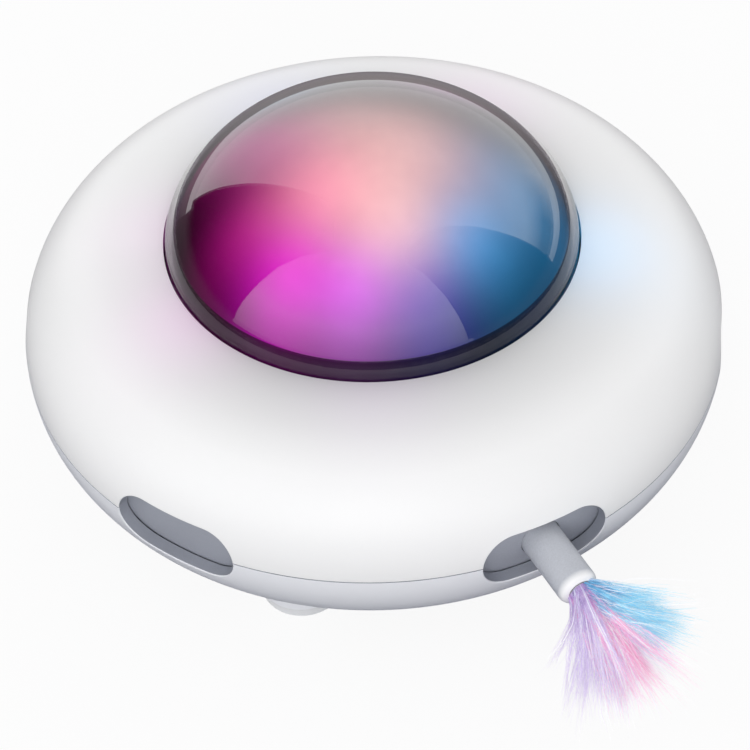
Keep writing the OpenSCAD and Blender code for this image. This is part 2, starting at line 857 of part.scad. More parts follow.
module at_gear_screws() {
    around(4, 45) translate([ring_r * 0.65, 0, 0]) children();
}

module at_slip_screws() {
    around(4) translate([slip_out_r - head_d / 2, 0, 0]) children();
}

module at_guide_tabs() {
    for (u = tab_u, side = [-1, 1]) translate([u, side * tab_y, 0]) children();
}

module at_bracket_screws() {
    for (side = [-1, 1]) translate([slide_u + side * bracket_w / 4, bracket_screw_y, 0]) children();
}

module turntable() {
    color("lightsteelblue") difference() {
        union() {
            translate([0, 0, deck_z]) cylinder(r = drum_r, h = deck_t);
            rotate_extrude() polygon(concat(drum_line(drum_o), turned(drum_line(drum_o + drum_wall))));
            translate([0, 0, hub_z]) cylinder(d = hub_d, h = deck_top - hub_z);
        }
        translate([0, 0, hub_z - cut]) cylinder(d = bush_d + 2 * press_play, h = deck_z - hub_z + cut);
        translate([0, 0, deck_z]) cylinder(d = clip_d + 2 * clip_room, h = deck_t + cut);
        along_wand() {
            translate([drum_in_r - drum_wall, 0, seam_z]) rotate([0, 90, 0])
                cylinder(d = wand_d + 2 * slide_play, h = body_r - drum_in_r);
            at_guide_tabs() translate([0, 0, deck_top]) screw_hole(deck_t - deck_skin);
            at_bracket_screws() translate([0, 0, deck_top]) screw_hole(deck_t - deck_skin);
        }
        at_gear_screws() translate([0, 0, deck_z]) rotate([180, 0, 0]) screw_hole(deck_t - deck_skin);
        at_slip_screws() translate([0, 0, deck_z]) rotate([180, 0, 0]) screw_hole(deck_t - deck_skin);
    }
}

module axle_bush() {
    color("darkgoldenrod") translate([0, 0, bush_z]) ring(bush_d / 2, axle_d / 2 + run_play, deck_z - bush_z);
}

module turntable_gear() {
    color("ivory") translate([0, 0, gear_z]) difference() {
        rotate([0, 0, 90]) linear_extrude(gear_h) polygon(gear_line(ring_teeth));
        translate([0, 0, -cut]) cylinder(d = hub_d + 2 * press_play, h = gear_h + 2 * cut);
        at_gear_screws() translate([0, 0, gear_h]) screw_hole(gear_h + cut);
    }
}

module gear_screws() {
    color("silver") at_gear_screws() translate([0, 0, gear_z]) rotate([180, 0, 0])
        screw(gear_h + deck_t - screw_end);
}

module slip_ring_board() {
    color("green") difference() {
        translate([0, 0, slip_z]) ring(slip_out_r, slip_in_r, slip_t);
        at_slip_screws() translate([0, 0, deck_z]) screw_hole(slip_t + cut);
    }
}

module slip_tracks() {
    color("gold") for (k = [-1:track_n - 2]) translate([0, 0, track_z])
        ring(brush_r + k * track_pitch + track_w / 2, brush_r + k * track_pitch - track_w / 2, track_t);
}

module slip_screws() {
    color("silver") at_slip_screws() translate([0, 0, slip_z]) rotate([180, 0, 0])
        screw(slip_t + deck_t - screw_end);
}

module guide_channel() {
    long = guide_front - guide_rear;
    color("lightgray") along_wand() difference() {
        union() {
            translate([guide_rear, -guide_out, deck_top]) cube([long, 2 * guide_out, guide_t]);
            for (side = [-1, 1])
                translate([guide_rear, side * (guide_in + guide_t / 2) - guide_t / 2, deck_top])
                    cube([long, guide_t, guide_h + guide_t]);
            at_guide_tabs() translate([-tab_w / 2, -tab_w / 2, deck_top]) cube([tab_w, tab_w, guide_t]);
        }
        at_guide_tabs() translate([0, 0, guide_z]) screw_hole(guide_t + cut);
    }
}

module guide_screws() {
    color("silver") along_wand() at_guide_tabs() translate([0, 0, guide_z])
        screw(guide_t + deck_t - screw_end);
}

module slide_motor() {
    bore = gearbox_l - gearbox_end;
    color("silver") along_wand() translate([slide_u, gearbox_y, slide_z]) difference() {
        union() {
            translate([-slide_motor_w / 2, 0, -slide_motor_h / 2])
                cube([slide_motor_w, gearbox_l, slide_motor_h]);
            intersection() {
                rotate([-90, 0, 0]) cylinder(d = slide_motor_w, h = slide_motor_l);
                translate([-slide_motor_w, 0, -slide_motor_h / 2])
                    cube([2 * slide_motor_w, slide_motor_l, slide_motor_h]);
            }
        }
        translate([0, -cut, 0]) rotate([-90, 0, 0]) cylinder(d = shaft_d + 2 * run_play, h = bore + cut);
        for (side = [-1, 1]) translate([side * gearbox_screw_u, 0, 0]) rotate([90, 0, 0])
            screw_hole(gearbox_bite + screw_end);
    }
}

module motor_bracket() {
    top = slide_z + slide_motor_h / 2;
    color("darkgray") along_wand() difference() {
        union() {
            translate([slide_u - bracket_w / 2, bracket_y, deck_top])
                cube([bracket_w, bracket_t, top - deck_top]);
            translate([slide_u - bracket_w / 2, bracket_y, deck_top])
                cube([bracket_w, bracket_foot, guide_t]);
        }
        translate([slide_u, bracket_y - cut, slide_z]) rotate([-90, 0, 0])
            cylinder(d = shaft_d + 2 * shaft_room, h = bracket_t + 2 * cut);
        for (side = [-1, 1]) translate([slide_u + side * gearbox_screw_u, bracket_y, slide_z])
            rotate([90, 0, 0]) screw_hole(bracket_t + cut);
        at_bracket_screws() translate([0, 0, guide_z]) screw_hole(guide_t + cut);
    }
}

module bracket_screws() {
    color("silver") along_wand() at_bracket_screws() translate([0, 0, guide_z])
        screw(guide_t + deck_t - screw_end);
}

module gearbox_screws() {
    color("silver") along_wand() for (side = [-1, 1])
        translate([slide_u + side * gearbox_screw_u, bracket_y, slide_z]) rotate([90, 0, 0])
            screw(bracket_t + gearbox_bite);
}

module slide_shaft() {
    bore = gearbox_l - gearbox_end;
    near = -rack_w / 2;
    color("silver") along_wand() translate([slide_u, near, slide_z]) rotate([-90, 0, 0])
        cylinder(d = shaft_d, h = gearbox_y + bore - run_play - near);
}

module slide_pinion() {
    color("ivory") along_wand() translate([slide_u, rack_w / 2, slide_z]) rotate([90, 90, 0])
        difference() {
            linear_extrude(rack_w) polygon(gear_line(pinion_teeth));
            translate([0, 0, -cut]) cylinder(d = shaft_d + 2 * press_play, h = rack_w + 2 * cut);
        }
}

// Rack teeth over a whole number of pitches, with a space under the slide pinion
module rack_teeth() {
    count = floor((carriage_front - tube_gap / 2 - slide_u) / rack_pitch);
    low = rack_pitch / 4 - backlash / 4 + dedendum * tan(pressure);
    high = rack_pitch / 4 - backlash / 4 - addendum * tan(pressure);
    translate([0, rack_w / 2, 0]) rotate([90, 0, 0]) linear_extrude(rack_w)
        for (k = [-1:count - 1]) translate([slide_u + (k + 0.5) * rack_pitch, 0]) polygon([
            [-low, rack_root - cut], [low, rack_root - cut], [low, rack_root],
            [high, rack_z + addendum], [-high, rack_z + addendum], [-low, rack_root]
        ]);
}

module wand_carriage() {
    color("white") along_wand() difference() {
        union() {
            translate([carriage_rear, -carriage_w / 2, carriage_z])
                cube([carriage_front - carriage_rear, carriage_w, rack_root - carriage_z]);
            rack_teeth();
        }
        translate([carriage_front - spigot_l, 0, seam_z]) rotate([0, 90, 0])
            cylinder(d = spigot_d + 2 * press_play, h = spigot_l + cut);
    }
}

module wand_tube() {
    edge = wand_d / 2 - tip_r;
    inner = plug_d / 2 + press_play;
    color("lightsteelblue") along_wand() translate([0, 0, seam_z]) rotate([90, 0, 90]) rotate_extrude()
        polygon(concat(
            [
                [0, carriage_front - spigot_l], [spigot_d / 2, carriage_front - spigot_l],
                [spigot_d / 2, carriage_front], [wand_d / 2, carriage_front]
            ],
            arc([edge, wand_reach - tip_r], tip_r, 0, 90, 8),
            [
                [inner, wand_reach], [inner, wand_reach - plug_l], [0, wand_reach - plug_l]
            ]
        ));
}

module feather_plug() {
    color("whitesmoke") along_wand() translate([wand_reach - plug_l, 0, seam_z]) rotate([0, 90, 0])
        difference() {
            cylinder(d = plug_d, h = plug_l);
            translate([0, 0, plug_l - slice_t]) cylinder(d = root_d + 2 * slide_play, h = slice_t + cut);
        }
}

// The feather's root is a six-sided lattice, and every upright triangle of it grows one strand
tuft_n = tuft_side;
tuft_step = root_d / 2 / tuft_n;
tuft_mid = 0.4 * tuft_l;
tuft_mid_share = 0.5;
slice_t = 2;
function inside(i, j) = abs(i) <= tuft_n && abs(j) <= tuft_n && abs(i + j) <= tuft_n;
function row_start(j) = max(-tuft_n, -tuft_n - j);
function row_offset(j) = j <= 0
    ? (j + tuft_n) * (tuft_n + 1) + (j + tuft_n) * (j + tuft_n - 1) / 2
    : tuft_n * (tuft_n + 1) + tuft_n * (tuft_n - 1) / 2 + 2 * tuft_n + 1
        + (j - 1) * (2 * tuft_n + 1) - (j - 1) * j / 2;
function place(c) = row_offset(c.y) + c.x - row_start(c.y);
function root_point(c) = tuft_step * [c.x + c.y / 2, c.y * sqrt(3) / 2];
cells = [for (j = [-tuft_n:tuft_n], i = [-tuft_n:tuft_n]) if (inside(i, j)) [i, j]];
roots = [for (c = cells) if (inside(c.x + 1, c.y) && inside(c.x, c.y + 1)) c];
flats = [for (c = cells) if (inside(c.x + 1, c.y) && inside(c.x + 1, c.y - 1)) c];
corners = tuft_n * [[1, 0], [0, 1], [-1, 1], [-1, 0], [0, -1], [1, -1]];
edge_cells = [
    for (k = [0:5], s = [0:tuft_n - 1]) corners[k] + s / tuft_n * (corners[(k + 1) % 6] - corners[k])
];
lengths = rands(0.74, 1, len(roots), 7);

// A strand's middle and tip spread with its distance from the root's centre
function strand_share(c) = (root_point(c) + tuft_step * [0.5, sqrt(3) / 6]) / (root_d / 2);
function strand_mid(c) = tuft_mid_share / 2 * [strand_share(c).x * tuft_w, strand_share(c).y * tuft_h];
function strand_reach(k) = tuft_l * lengths[k] * (1 - 0.2 * pow(norm(strand_share(roots[k])), 2));
function strand_tip(k) =
    let (
        share = strand_share(roots[k]),
        along = (strand_reach(k) - tuft_mid) / (tuft_l - tuft_mid),
        spread = tuft_mid_share + (1 - tuft_mid_share) * along
    )
    [strand_reach(k), spread / 2 * share.x * tuft_w, spread / 2 * share.y * tuft_h];

module feather_tuft() {
    top_n = len(cells);
    edge_n = len(edge_cells);
    middle = top_n + edge_n;
    mids = middle + 1;
    tips = mids + 3 * len(roots);
    points = concat(
        [for (c = cells) [0, root_point(c).x, root_point(c).y]],
        [for (c = edge_cells) [-slice_t, root_point(c).x, root_point(c).y]],
        [[-slice_t, 0, 0]],
        [for (c = roots, a = [210, 330, 90]) concat([tuft_mid], strand_mid(c) + polar(hair_w / 2, a))],
        [for (k = [0:len(roots) - 1]) strand_tip(k)]
    );
    faces = concat(
        [for (c = flats) [place(c), place(c + [1, 0]), place(c + [1, -1])]],
        [for (e = [0:edge_n - 1]) each
            let (f = (e + 1) % edge_n, a = place(edge_cells[e]), b = place(edge_cells[f]))
            [[a, b, top_n + e], [b, top_n + f, top_n + e], [top_n + e, top_n + f, middle]]],
        [for (k = [0:len(roots) - 1]) each
            let (c = roots[k], base = [place(c), place(c + [1, 0]), place(c + [0, 1])], m = mids + 3 * k)
            [for (s = [0:2]) each
                let (t = (s + 1) % 3)
                [[base[s], m + s, base[t]], [base[t], m + s, m + t], [m + s, tips + k, m + t]]]]
    );
    color("plum") along_wand() translate([wand_reach, 0, seam_z]) polyhedron(points, faces);
}

lower_shell();
upper_shell();
rubber_feet();
dome_lens();
lens_gasket();
lens_bezel();
light_diffuser();
lamp_tray();
tray_screws();
led_board();
led_screws();
leds();
axle_pin();
thrust_washer();
axle_clip();
drive_motor();
motor_screws();
battery_cell();
battery_strap();
strap_screws();
control_board();
board_screws();
board_chips();
vibration_sensor();
tact_switch();
charge_socket();
brush_holder();
contact_brushes();
power_button();
drive_shaft();
drive_pinion();
turntable();
axle_bush();
turntable_gear();
gear_screws();
slip_ring_board();
slip_tracks();
slip_screws();
guide_channel();
guide_screws();
slide_motor();
motor_bracket();
bracket_screws();
gearbox_screws();
slide_shaft();
slide_pinion();
wand_carriage();
wand_tube();
feather_plug();
feather_tuft();
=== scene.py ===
"""Looks of the automatic cat feather toy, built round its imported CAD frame."""

import json
import math

import bmesh
import bpy
import numpy as np
from mathutils import Matrix, Vector


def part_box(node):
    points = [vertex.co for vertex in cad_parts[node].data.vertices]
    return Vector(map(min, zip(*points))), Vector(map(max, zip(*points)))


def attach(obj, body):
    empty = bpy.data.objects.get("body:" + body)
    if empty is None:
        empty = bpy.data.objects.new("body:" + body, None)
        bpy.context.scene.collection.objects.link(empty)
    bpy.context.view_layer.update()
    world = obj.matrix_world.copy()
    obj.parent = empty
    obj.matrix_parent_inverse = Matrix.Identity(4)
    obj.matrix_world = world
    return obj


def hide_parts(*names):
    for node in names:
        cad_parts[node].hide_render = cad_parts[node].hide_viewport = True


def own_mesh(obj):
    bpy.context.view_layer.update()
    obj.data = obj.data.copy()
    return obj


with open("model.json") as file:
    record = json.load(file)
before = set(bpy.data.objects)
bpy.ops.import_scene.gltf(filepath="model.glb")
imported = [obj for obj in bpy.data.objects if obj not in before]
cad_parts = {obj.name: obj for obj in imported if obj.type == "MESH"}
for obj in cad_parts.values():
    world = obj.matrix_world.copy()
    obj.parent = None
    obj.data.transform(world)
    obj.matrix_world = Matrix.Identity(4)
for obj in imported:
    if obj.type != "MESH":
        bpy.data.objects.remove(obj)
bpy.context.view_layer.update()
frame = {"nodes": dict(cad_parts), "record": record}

MM = 0.001
scene = bpy.context.scene
scene.view_settings.view_transform = "Standard"

# Sizes of the toy that the pieces here share with the CAD model, in millimetres
BODY_R = 92.5
SEAM_Z = 38.0
WALL = 3.0
SHOULDER_R = 28.5
SHOULDER_TURN = math.radians(79)
CROWN_R = 99.0
FLANK_R = 29.2
FLANK_TURN = math.radians(50)
BASE_Z = 5.0
SLOT_W = 34.4
SLOT_H = 16.6
SLOT_Z = SEAM_Z - 0.5
SLOT_COUNT = 6
RIM_R = 53.9
RIM_Z = 67.75
DOME_R = 53.45
DOME_H = 35.4
DOME_POWER = 1.74
LENS_WALL = 1.6
FLANGE_R = 57.45
FLANGE_LOW = 62.05
FLANGE_TOP = 63.65
NECK_R = 54.2
NECK_Z = 64.4
LINING_LOW = 62.3
BAND_INSETS = (1.8, 2.6)
BEZEL_SHARE = 0.097
GLOW_INSETS = (2.8, 4.0)
FOOT_R = 10.5
WAND_REACH = 108.0
TUFT_ROOT = Vector((0.0, -WAND_REACH + 1.5, SEAM_Z))

# Centres of the arcs in the shell's section, and the slots' round ends
SHOULDER_C = (BODY_R - SHOULDER_R, SEAM_Z)
CROWN_C = (SHOULDER_C[0] - (CROWN_R - SHOULDER_R) * math.cos(SHOULDER_TURN),
           SEAM_Z - (CROWN_R - SHOULDER_R) * math.sin(SHOULDER_TURN))
FLANK_C = (BODY_R - FLANK_R, SEAM_Z)
BELLY_R = ((SEAM_Z - BASE_Z) - FLANK_R * math.sin(FLANK_TURN)) / (1 - math.sin(FLANK_TURN))
BELLY_C = (FLANK_C[0] - (BELLY_R - FLANK_R) * math.cos(FLANK_TURN), BASE_Z + BELLY_R)
SLOT_R = SLOT_H / 2
SLOT_FLAT = (SLOT_W - SLOT_H) / 2

# Rounding of the slots' edges, the groove along the seam, whose faces are painted grey as shade, and the grey
# lining of the slots
EDGE = 0.3
EDGE_PARTS = (0.2, 0.4, 0.6, 0.8, 1.0)
GROOVE_H = 0.12
GROOVE_FLARE = 1.3
GROOVE_DEPTH = 0.7
LINER = 0.4

# Underside and port: the feet's bosses, the block behind the port, the port, its socket and the button's hole
AXIS_R = 0.02
BOSS_RIM = 0.8
BOSS_BEVEL = 0.4
BOSS_LOW, BOSS_TOP = 3.0, 12.0
BACKING_BELOW, BACKING_ABOVE = 4.2, 6.0
BACKING_DEEP = 3.0
BACKING_INSET = 1.5
BACKING_HALF = 10.0
PORT_W, PORT_H, PORT_CORNER = 13.0, 7.0, 1.2
PORT_PAST = 3.0
SOCKET_W, SOCKET_H, SOCKET_CORNER = 9.5, 3.7, 1.84
SOCKET_DEEP, SOCKET_PAST = 6.0, 1.0
BUTTON_HOLE_R = 4.7
BUTTON_HOLE_LOW, BUTTON_HOLE_TOP = -1.0, 9.5
COLLAR_R = 8.5
COLLAR_LOW, COLLAR_TOP = 6.5, 8.5

# The camera's place, fitted to the photograph
CAMERA_TURN = math.radians(-26.11)
CAMERA_RISE = math.radians(45.584)
CAMERA_ROLL = math.radians(-1.7195)
CAMERA_DISTANCE = 705.75
CAMERA_LENS = 124.35
AIM_RIGHT = -0.31
AIM_Z = 15.24
VIEW_RIGHT = Vector((math.cos(CAMERA_TURN), math.sin(CAMERA_TURN), 0))
VIEW_AWAY = Vector((-math.sin(CAMERA_TURN), math.cos(CAMERA_TURN), 0))


# Shader helpers

def feed(tree, socket, value):
    """Links a socket to another, or sets its value."""
    if isinstance(value, bpy.types.NodeSocket):
        tree.links.new(value, socket)
    elif socket.type == "RGBA" and len(value) == 3:
        socket.default_value = (*value, 1)
    else:
        socket.default_value = value


def put(tree, kind, sockets=None, **settings):
    """Adds a node, its settings and what feeds it."""
    made = tree.nodes.new(kind)
    for name, value in settings.items():
        setattr(made, name, value)
    for name, value in (sockets or {}).items():
        feed(tree, made.inputs[name], value)
    return made


def math_node(tree, operation, *values):
    made = tree.nodes.new("ShaderNodeMath")
    made.operation = operation
    for socket, value in zip(made.inputs, values):
        feed(tree, socket, value)
    return made.outputs[0]


def mix_colour(tree, share, first, second, blend="MIX"):
    made = tree.nodes.new("ShaderNodeMix")
    made.data_type = "RGBA"
    made.blend_type = blend
    feed(tree, made.inputs[0], share)
    feed(tree, made.inputs[6], first)
    feed(tree, made.inputs[7], second)
    return made.outputs[2]


def span(tree, value, low, high, to_low=0.0, to_high=1.0):
    made = put(tree, "ShaderNodeMapRange", {
        "Value": value, "From Min": low, "From Max": high, "To Min": to_low, "To Max": to_high})
    return made.outputs[0]


def place(tree):
    """Where a point of the piece lies, in metres in the toy's frame."""
    return put(tree, "ShaderNodeTexCoord").outputs["Object"]


def noise(tree, scale, detail=2.0, roughness=0.5, at=None):
    made = put(tree, "ShaderNodeTexNoise", {
        "Vector": at or place(tree), "Scale": scale, "Detail": detail, "Roughness": roughness})
    return made.outputs["Fac"]


def new_group(name, inputs, outputs):
    tree = bpy.data.node_groups.new(name, "ShaderNodeTree")
    for label, kind, value in inputs:
        socket = tree.interface.new_socket(label, in_out="INPUT", socket_type=kind)
        socket.default_value = (*value, 1) if kind == "NodeSocketColor" else value
    for label, kind in outputs:
        tree.interface.new_socket(label, in_out="OUTPUT", socket_type=kind)
    return tree, tree.nodes.new("NodeGroupInput").outputs, tree.nodes.new("NodeGroupOutput").inputs


def moulded_surface():
    """Moulded plastic or rubber: fine spark grain, slow shade changes and a roughness that follows both."""
    tree, given, out = new_group("moulded surface", [
        ("Colour", "NodeSocketColor", (0.8, 0.8, 0.8)),
        ("Roughness", "NodeSocketFloat", 0.4),
        ("Grain", "NodeSocketFloat", 2500.0),
        ("Mottle", "NodeSocketFloat", 0.03),
    ], [("Colour", "NodeSocketColor"), ("Roughness", "NodeSocketFloat"), ("Height", "NodeSocketFloat")])
    at = place(tree)
    grain = noise(tree, given["Grain"], 3.0, 0.6, at)
    cloud = noise(tree, 38.0, 3.0, 0.55, at)
    both = math_node(tree, "SUBTRACT", math_node(tree, "ADD", cloud, grain), 1.0)
    shade = math_node(tree, "MULTIPLY_ADD", both, given["Mottle"], 1.0)
    feed(tree, out["Colour"], put(tree, "ShaderNodeVectorMath", {
        0: given["Colour"], "Scale": shade}, operation="SCALE").outputs[0])
    rough = math_node(tree, "MULTIPLY_ADD", math_node(tree, "SUBTRACT", grain, 0.5), 0.12, given["Roughness"])
    rough = math_node(tree, "MULTIPLY_ADD", math_node(tree, "SUBTRACT", cloud, 0.5), 0.08, rough)
    feed(tree, out["Roughness"], rough)
    feed(tree, out["Height"], grain)
    return tree


def turned_metal():
    """Metal with fine tool lines, duller in patches."""
    tree, given, out = new_group("turned metal", [
        ("Colour", "NodeSocketColor", (0.6, 0.6, 0.6)),
        ("Roughness", "NodeSocketFloat", 0.3),
        ("Lines", "NodeSocketFloat", 900.0),
    ], [("Colour", "NodeSocketColor"), ("Roughness", "NodeSocketFloat"), ("Height", "NodeSocketFloat")])
    at = place(tree)
    stretched = put(tree, "ShaderNodeVectorMath", {0: at, 1: (1.0, 1.0, 14.0)}, operation="MULTIPLY").outputs[0]
    lines = noise(tree, given["Lines"], 2.0, 0.5, stretched)
    patch = noise(tree, 160.0, 3.0, 0.6, at)
    feed(tree, out["Colour"], put(tree, "ShaderNodeVectorMath", {
        0: given["Colour"], "Scale": span(tree, patch, 0.3, 0.7, 0.86, 1.06)}, operation="SCALE").outputs[0])
    rough = math_node(tree, "MULTIPLY_ADD", math_node(tree, "SUBTRACT", lines, 0.5), 0.2, given["Roughness"])
    feed(tree, out["Roughness"], math_node(tree, "MULTIPLY_ADD", patch, 0.12, rough))
    feed(tree, out["Height"], lines)
    return tree


GROUPS = {"moulded": moulded_surface(), "metal": turned_metal()}


def new_material(name):
    made = bpy.data.materials.new(name)
    made.use_nodes = True
    shader = made.node_tree.nodes["Principled BSDF"]
    return made, made.node_tree, shader


def surfaced(name, group, values, bump, settings=None):
    """A Principled material whose colour, roughness and fine relief come from a shared group."""
    made, tree, shader = new_material(name)
    unit = tree.nodes.new("ShaderNodeGroup")
    unit.node_tree = GROUPS[group]
    for label, value in values.items():
        feed(tree, unit.inputs[label], value)
    feed(tree, shader.inputs["Base Color"], unit.outputs["Colour"])
    feed(tree, shader.inputs["Roughness"], unit.outputs["Roughness"])
    relief = put(tree, "ShaderNodeBump", {"Height": unit.outputs["Height"], "Strength": 1.0, "Distance": bump})
    feed(tree, shader.inputs["Normal"], relief.outputs[0])
    for label, value in (settings or {}).items():
        feed(tree, shader.inputs[label], value)
    return made


def plastic(name, colour, roughness, grain=2500.0, mottle=0.03, bump=2e-6):
    values = {"Colour": colour, "Roughness": roughness, "Grain": grain, "Mottle": mottle}
    return surfaced(name, "moulded", values, bump)


def metal(name, colour, roughness, lines=900.0):
    values = {"Colour": colour, "Roughness": roughness, "Lines": lines}
    return surfaced(name, "metal", values, 2e-6, {"Metallic": 1.0})


# The lamps' colours
PEACH = Vector((1.0, 0.62, 0.58))
ROSE = Vector((1.0, 0.3, 0.42))
CRIMSON = Vector((1.0, 0.0, 0.5))
MAGENTA = Vector((1.0, 0.0, 0.85))
VIOLET_LAMP = Vector((0.78, 0.08, 1.0))
INDIGO = Vector((0.0, 0.0, 1.0))
AZURE = Vector((0.0, 0.46, 1.0))
# Lamp spots: millimetres to the right of and away from the photograph's viewer, spread, colour and strength
LAMP_SPOTS = [
    (8, -7, 13, PEACH, 0.7),
    (5, -28, 9, PEACH, 0.6),
    (-10, 6, 10, PEACH, 0.22),
    (-12, -17, 9, ROSE, 0.65),
    (-23, 0, 10, CRIMSON, 0.22),
    (-34, 11, 9, CRIMSON, 0.16),
    (-30, -21, 8, CRIMSON, 0.3),
    (-20, -35, 8, MAGENTA, 0.63),
    (-5, -40, 7, VIOLET_LAMP, 0.56),
    (11, -40, 8, INDIGO, 0.3),
    (24, -27, 8, AZURE, 0.46),
    (37, -10, 12, AZURE, 0.33),
    (-25, 45, 10, AZURE, 0.4),
    (23, 46, 10, MAGENTA, 0.5),
]
# Painted glow: further lamp colours that the dark band in the dome's foot gives off, though it is no lamp
PAINTED_RIM_SPOTS = [
    (-50, 4, 9, MAGENTA, 0.16),
    (50, 2, 10, AZURE, 0.3),
    (40, -32, 9, INDIGO, 0.08),
]
# Painted light: the same lamps' glow painted as emission on the white shell round the dome
PAINTED_SPILL_SPOTS = [
    (-46, -30, 12, MAGENTA, 0.13),
    (-54, 4, 11, MAGENTA, 0.08),
    (55, -8, 12.5, AZURE, 0.28),
    (0, -57, 12, VIOLET_LAMP, 0.045),
    (-24, 52, 13, INDIGO, 0.07),
    (28, 50, 13, MAGENTA, 0.07),
]


def coloured_spots(name, spots):
    """Soft round spots of coloured light, placed over the toy in plan."""
    tree, _, out = new_group(name, [], [("Colour", "NodeSocketColor")])
    flat = put(tree, "ShaderNodeVectorMath", {0: place(tree), 1: (1, 1, 0)}, operation="MULTIPLY").outputs[0]
    total = None
    for right, away, width, colour, strength in spots:
        spot = (VIEW_RIGHT * right + VIEW_AWAY * away) * MM
        apart = put(tree, "ShaderNodeVectorMath", {0: flat, 1: spot}, operation="DISTANCE").outputs[1]
        square = math_node(tree, "MULTIPLY", apart, apart)
        fall = math_node(tree, "EXPONENT", math_node(tree, "MULTIPLY", square, -0.5 / (width * MM) ** 2))
        lit = put(tree, "ShaderNodeVectorMath", {
            0: colour * strength, "Scale": fall}, operation="SCALE").outputs[0]
        total = lit if total is None else put(
            tree, "ShaderNodeVectorMath", {0: total, 1: lit}, operation="ADD").outputs[0]
    feed(tree, out["Colour"], total)
    return tree


GROUPS["lamp glow"] = coloured_spots("lamp glow", LAMP_SPOTS)
GROUPS["painted rim glow"] = coloured_spots("painted rim glow", LAMP_SPOTS + PAINTED_RIM_SPOTS)
GROUPS["painted lamp spill"] = coloured_spots("painted lamp spill", PAINTED_SPILL_SPOTS)


def light_up(material, group, strength):
    """Lets a material give off the lamps' colours: the diffuser's own glow, and painted glow on the shell and the
    dark band, which are no lamps.
    """
    tree = material.node_tree
    shader = tree.nodes["Principled BSDF"]
    unit = tree.nodes.new("ShaderNodeGroup")
    unit.node_tree = GROUPS[group]
    feed(tree, shader.inputs["Emission Color"], unit.outputs["Colour"])
    shader.inputs["Emission Strength"].default_value = strength
    return material


def lamp_diffuser():
    """Frosted diffuser lit from inside by the coloured lamps under it."""
    made, tree, shader = new_material("diffuser_frost")
    frost = noise(tree, 4000.0, 2.0)
    feed(tree, shader.inputs["Base Color"], mix_colour(tree, frost, (0.03, 0.028, 0.03), (0.05, 0.048, 0.05)))
    feed(tree, shader.inputs["Roughness"], span(tree, frost, 0.3, 0.7, 0.5, 0.7))
    shader.inputs["Specular IOR Level"].default_value = 0.0
    return light_up(made, "lamp glow", 4.4)


def smoked_lens():
    """Clear smoked dome: dark see-through body with a polished skin."""
    made, tree, shader = new_material("lens_smoke")
    at = place(tree)
    haze = noise(tree, 220.0, 3.0, 0.5, at)
    feed(tree, shader.inputs["Base Color"], mix_colour(tree, haze, (0.25, 0.235, 0.25), (0.27, 0.26, 0.27)))
    feed(tree, shader.inputs["Roughness"], span(tree, haze, 0.0, 1.0, 0.0, 0.02))
    shader.inputs["Transmission Weight"].default_value = 1.0
    shader.inputs["IOR"].default_value = 1.5
    up = put(tree, "ShaderNodeSeparateXYZ", {0: at}).outputs["Z"]
    feed(tree, shader.inputs["Coat Weight"], span(tree, up, 0.073, 0.081))
    shader.inputs["Coat Roughness"].default_value = 0.0
    shader.inputs["Coat IOR"].default_value = 1.5
    return made


def painted_rim_shade(made):
    """Painted shade: a darker white painted where the shell runs in under the dome's rim, strongest on the
    viewer's side.
    """
    tree = made.node_tree
    shader = tree.nodes["Principled BSDF"]
    white = shader.inputs["Base Color"].links[0].from_socket
    flat = put(tree, "ShaderNodeVectorMath", {0: place(tree), 1: (1, 1, 0)}, operation="MULTIPLY").outputs[0]
    out = put(tree, "ShaderNodeVectorMath", {0: flat}, operation="LENGTH").outputs["Value"]
    away = put(tree, "ShaderNodeVectorMath", {0: flat, 1: VIEW_AWAY}, operation="DOT_PRODUCT").outputs["Value"]
    close = span(tree, out, 0.054, 0.08, 1.0, 0.0)
    # Painted shade: how much dark is mixed into the white near the rim, more on the viewer's side
    near = math_node(tree, "MULTIPLY", close, span(tree, away, -0.05, 0.0, 0.23, 0.05))
    feed(tree, shader.inputs["Base Color"], mix_colour(tree, near, white, (0.0, 0.0, 0.02)))
    return made


# How far from the wand's end its painted highlight fades out, and is full
WAND_HIGHLIGHT_FADE = (2.4, 0.7)


def wand_plastic():
    """Grained grey plastic, with a painted highlight: white painted on the wand's rounded end."""
    made = plastic("wand_grey", (0.52, 0.54, 0.595), 0.42, 2200.0, 0.3, 2e-5)
    tree = made.node_tree
    shader = tree.nodes["Principled BSDF"]
    grey = shader.inputs["Base Color"].links[0].from_socket
    along = put(tree, "ShaderNodeSeparateXYZ", {0: place(tree)}).outputs["Y"]
    end = span(tree, along, *((depth - WAND_REACH) * MM for depth in WAND_HIGHLIGHT_FADE))
    # Painted highlight: white mixed in at the wand's rounded end
    feed(tree, shader.inputs["Base Color"], mix_colour(tree, end, grey, (0.9, 0.9, 0.91)))
    return made


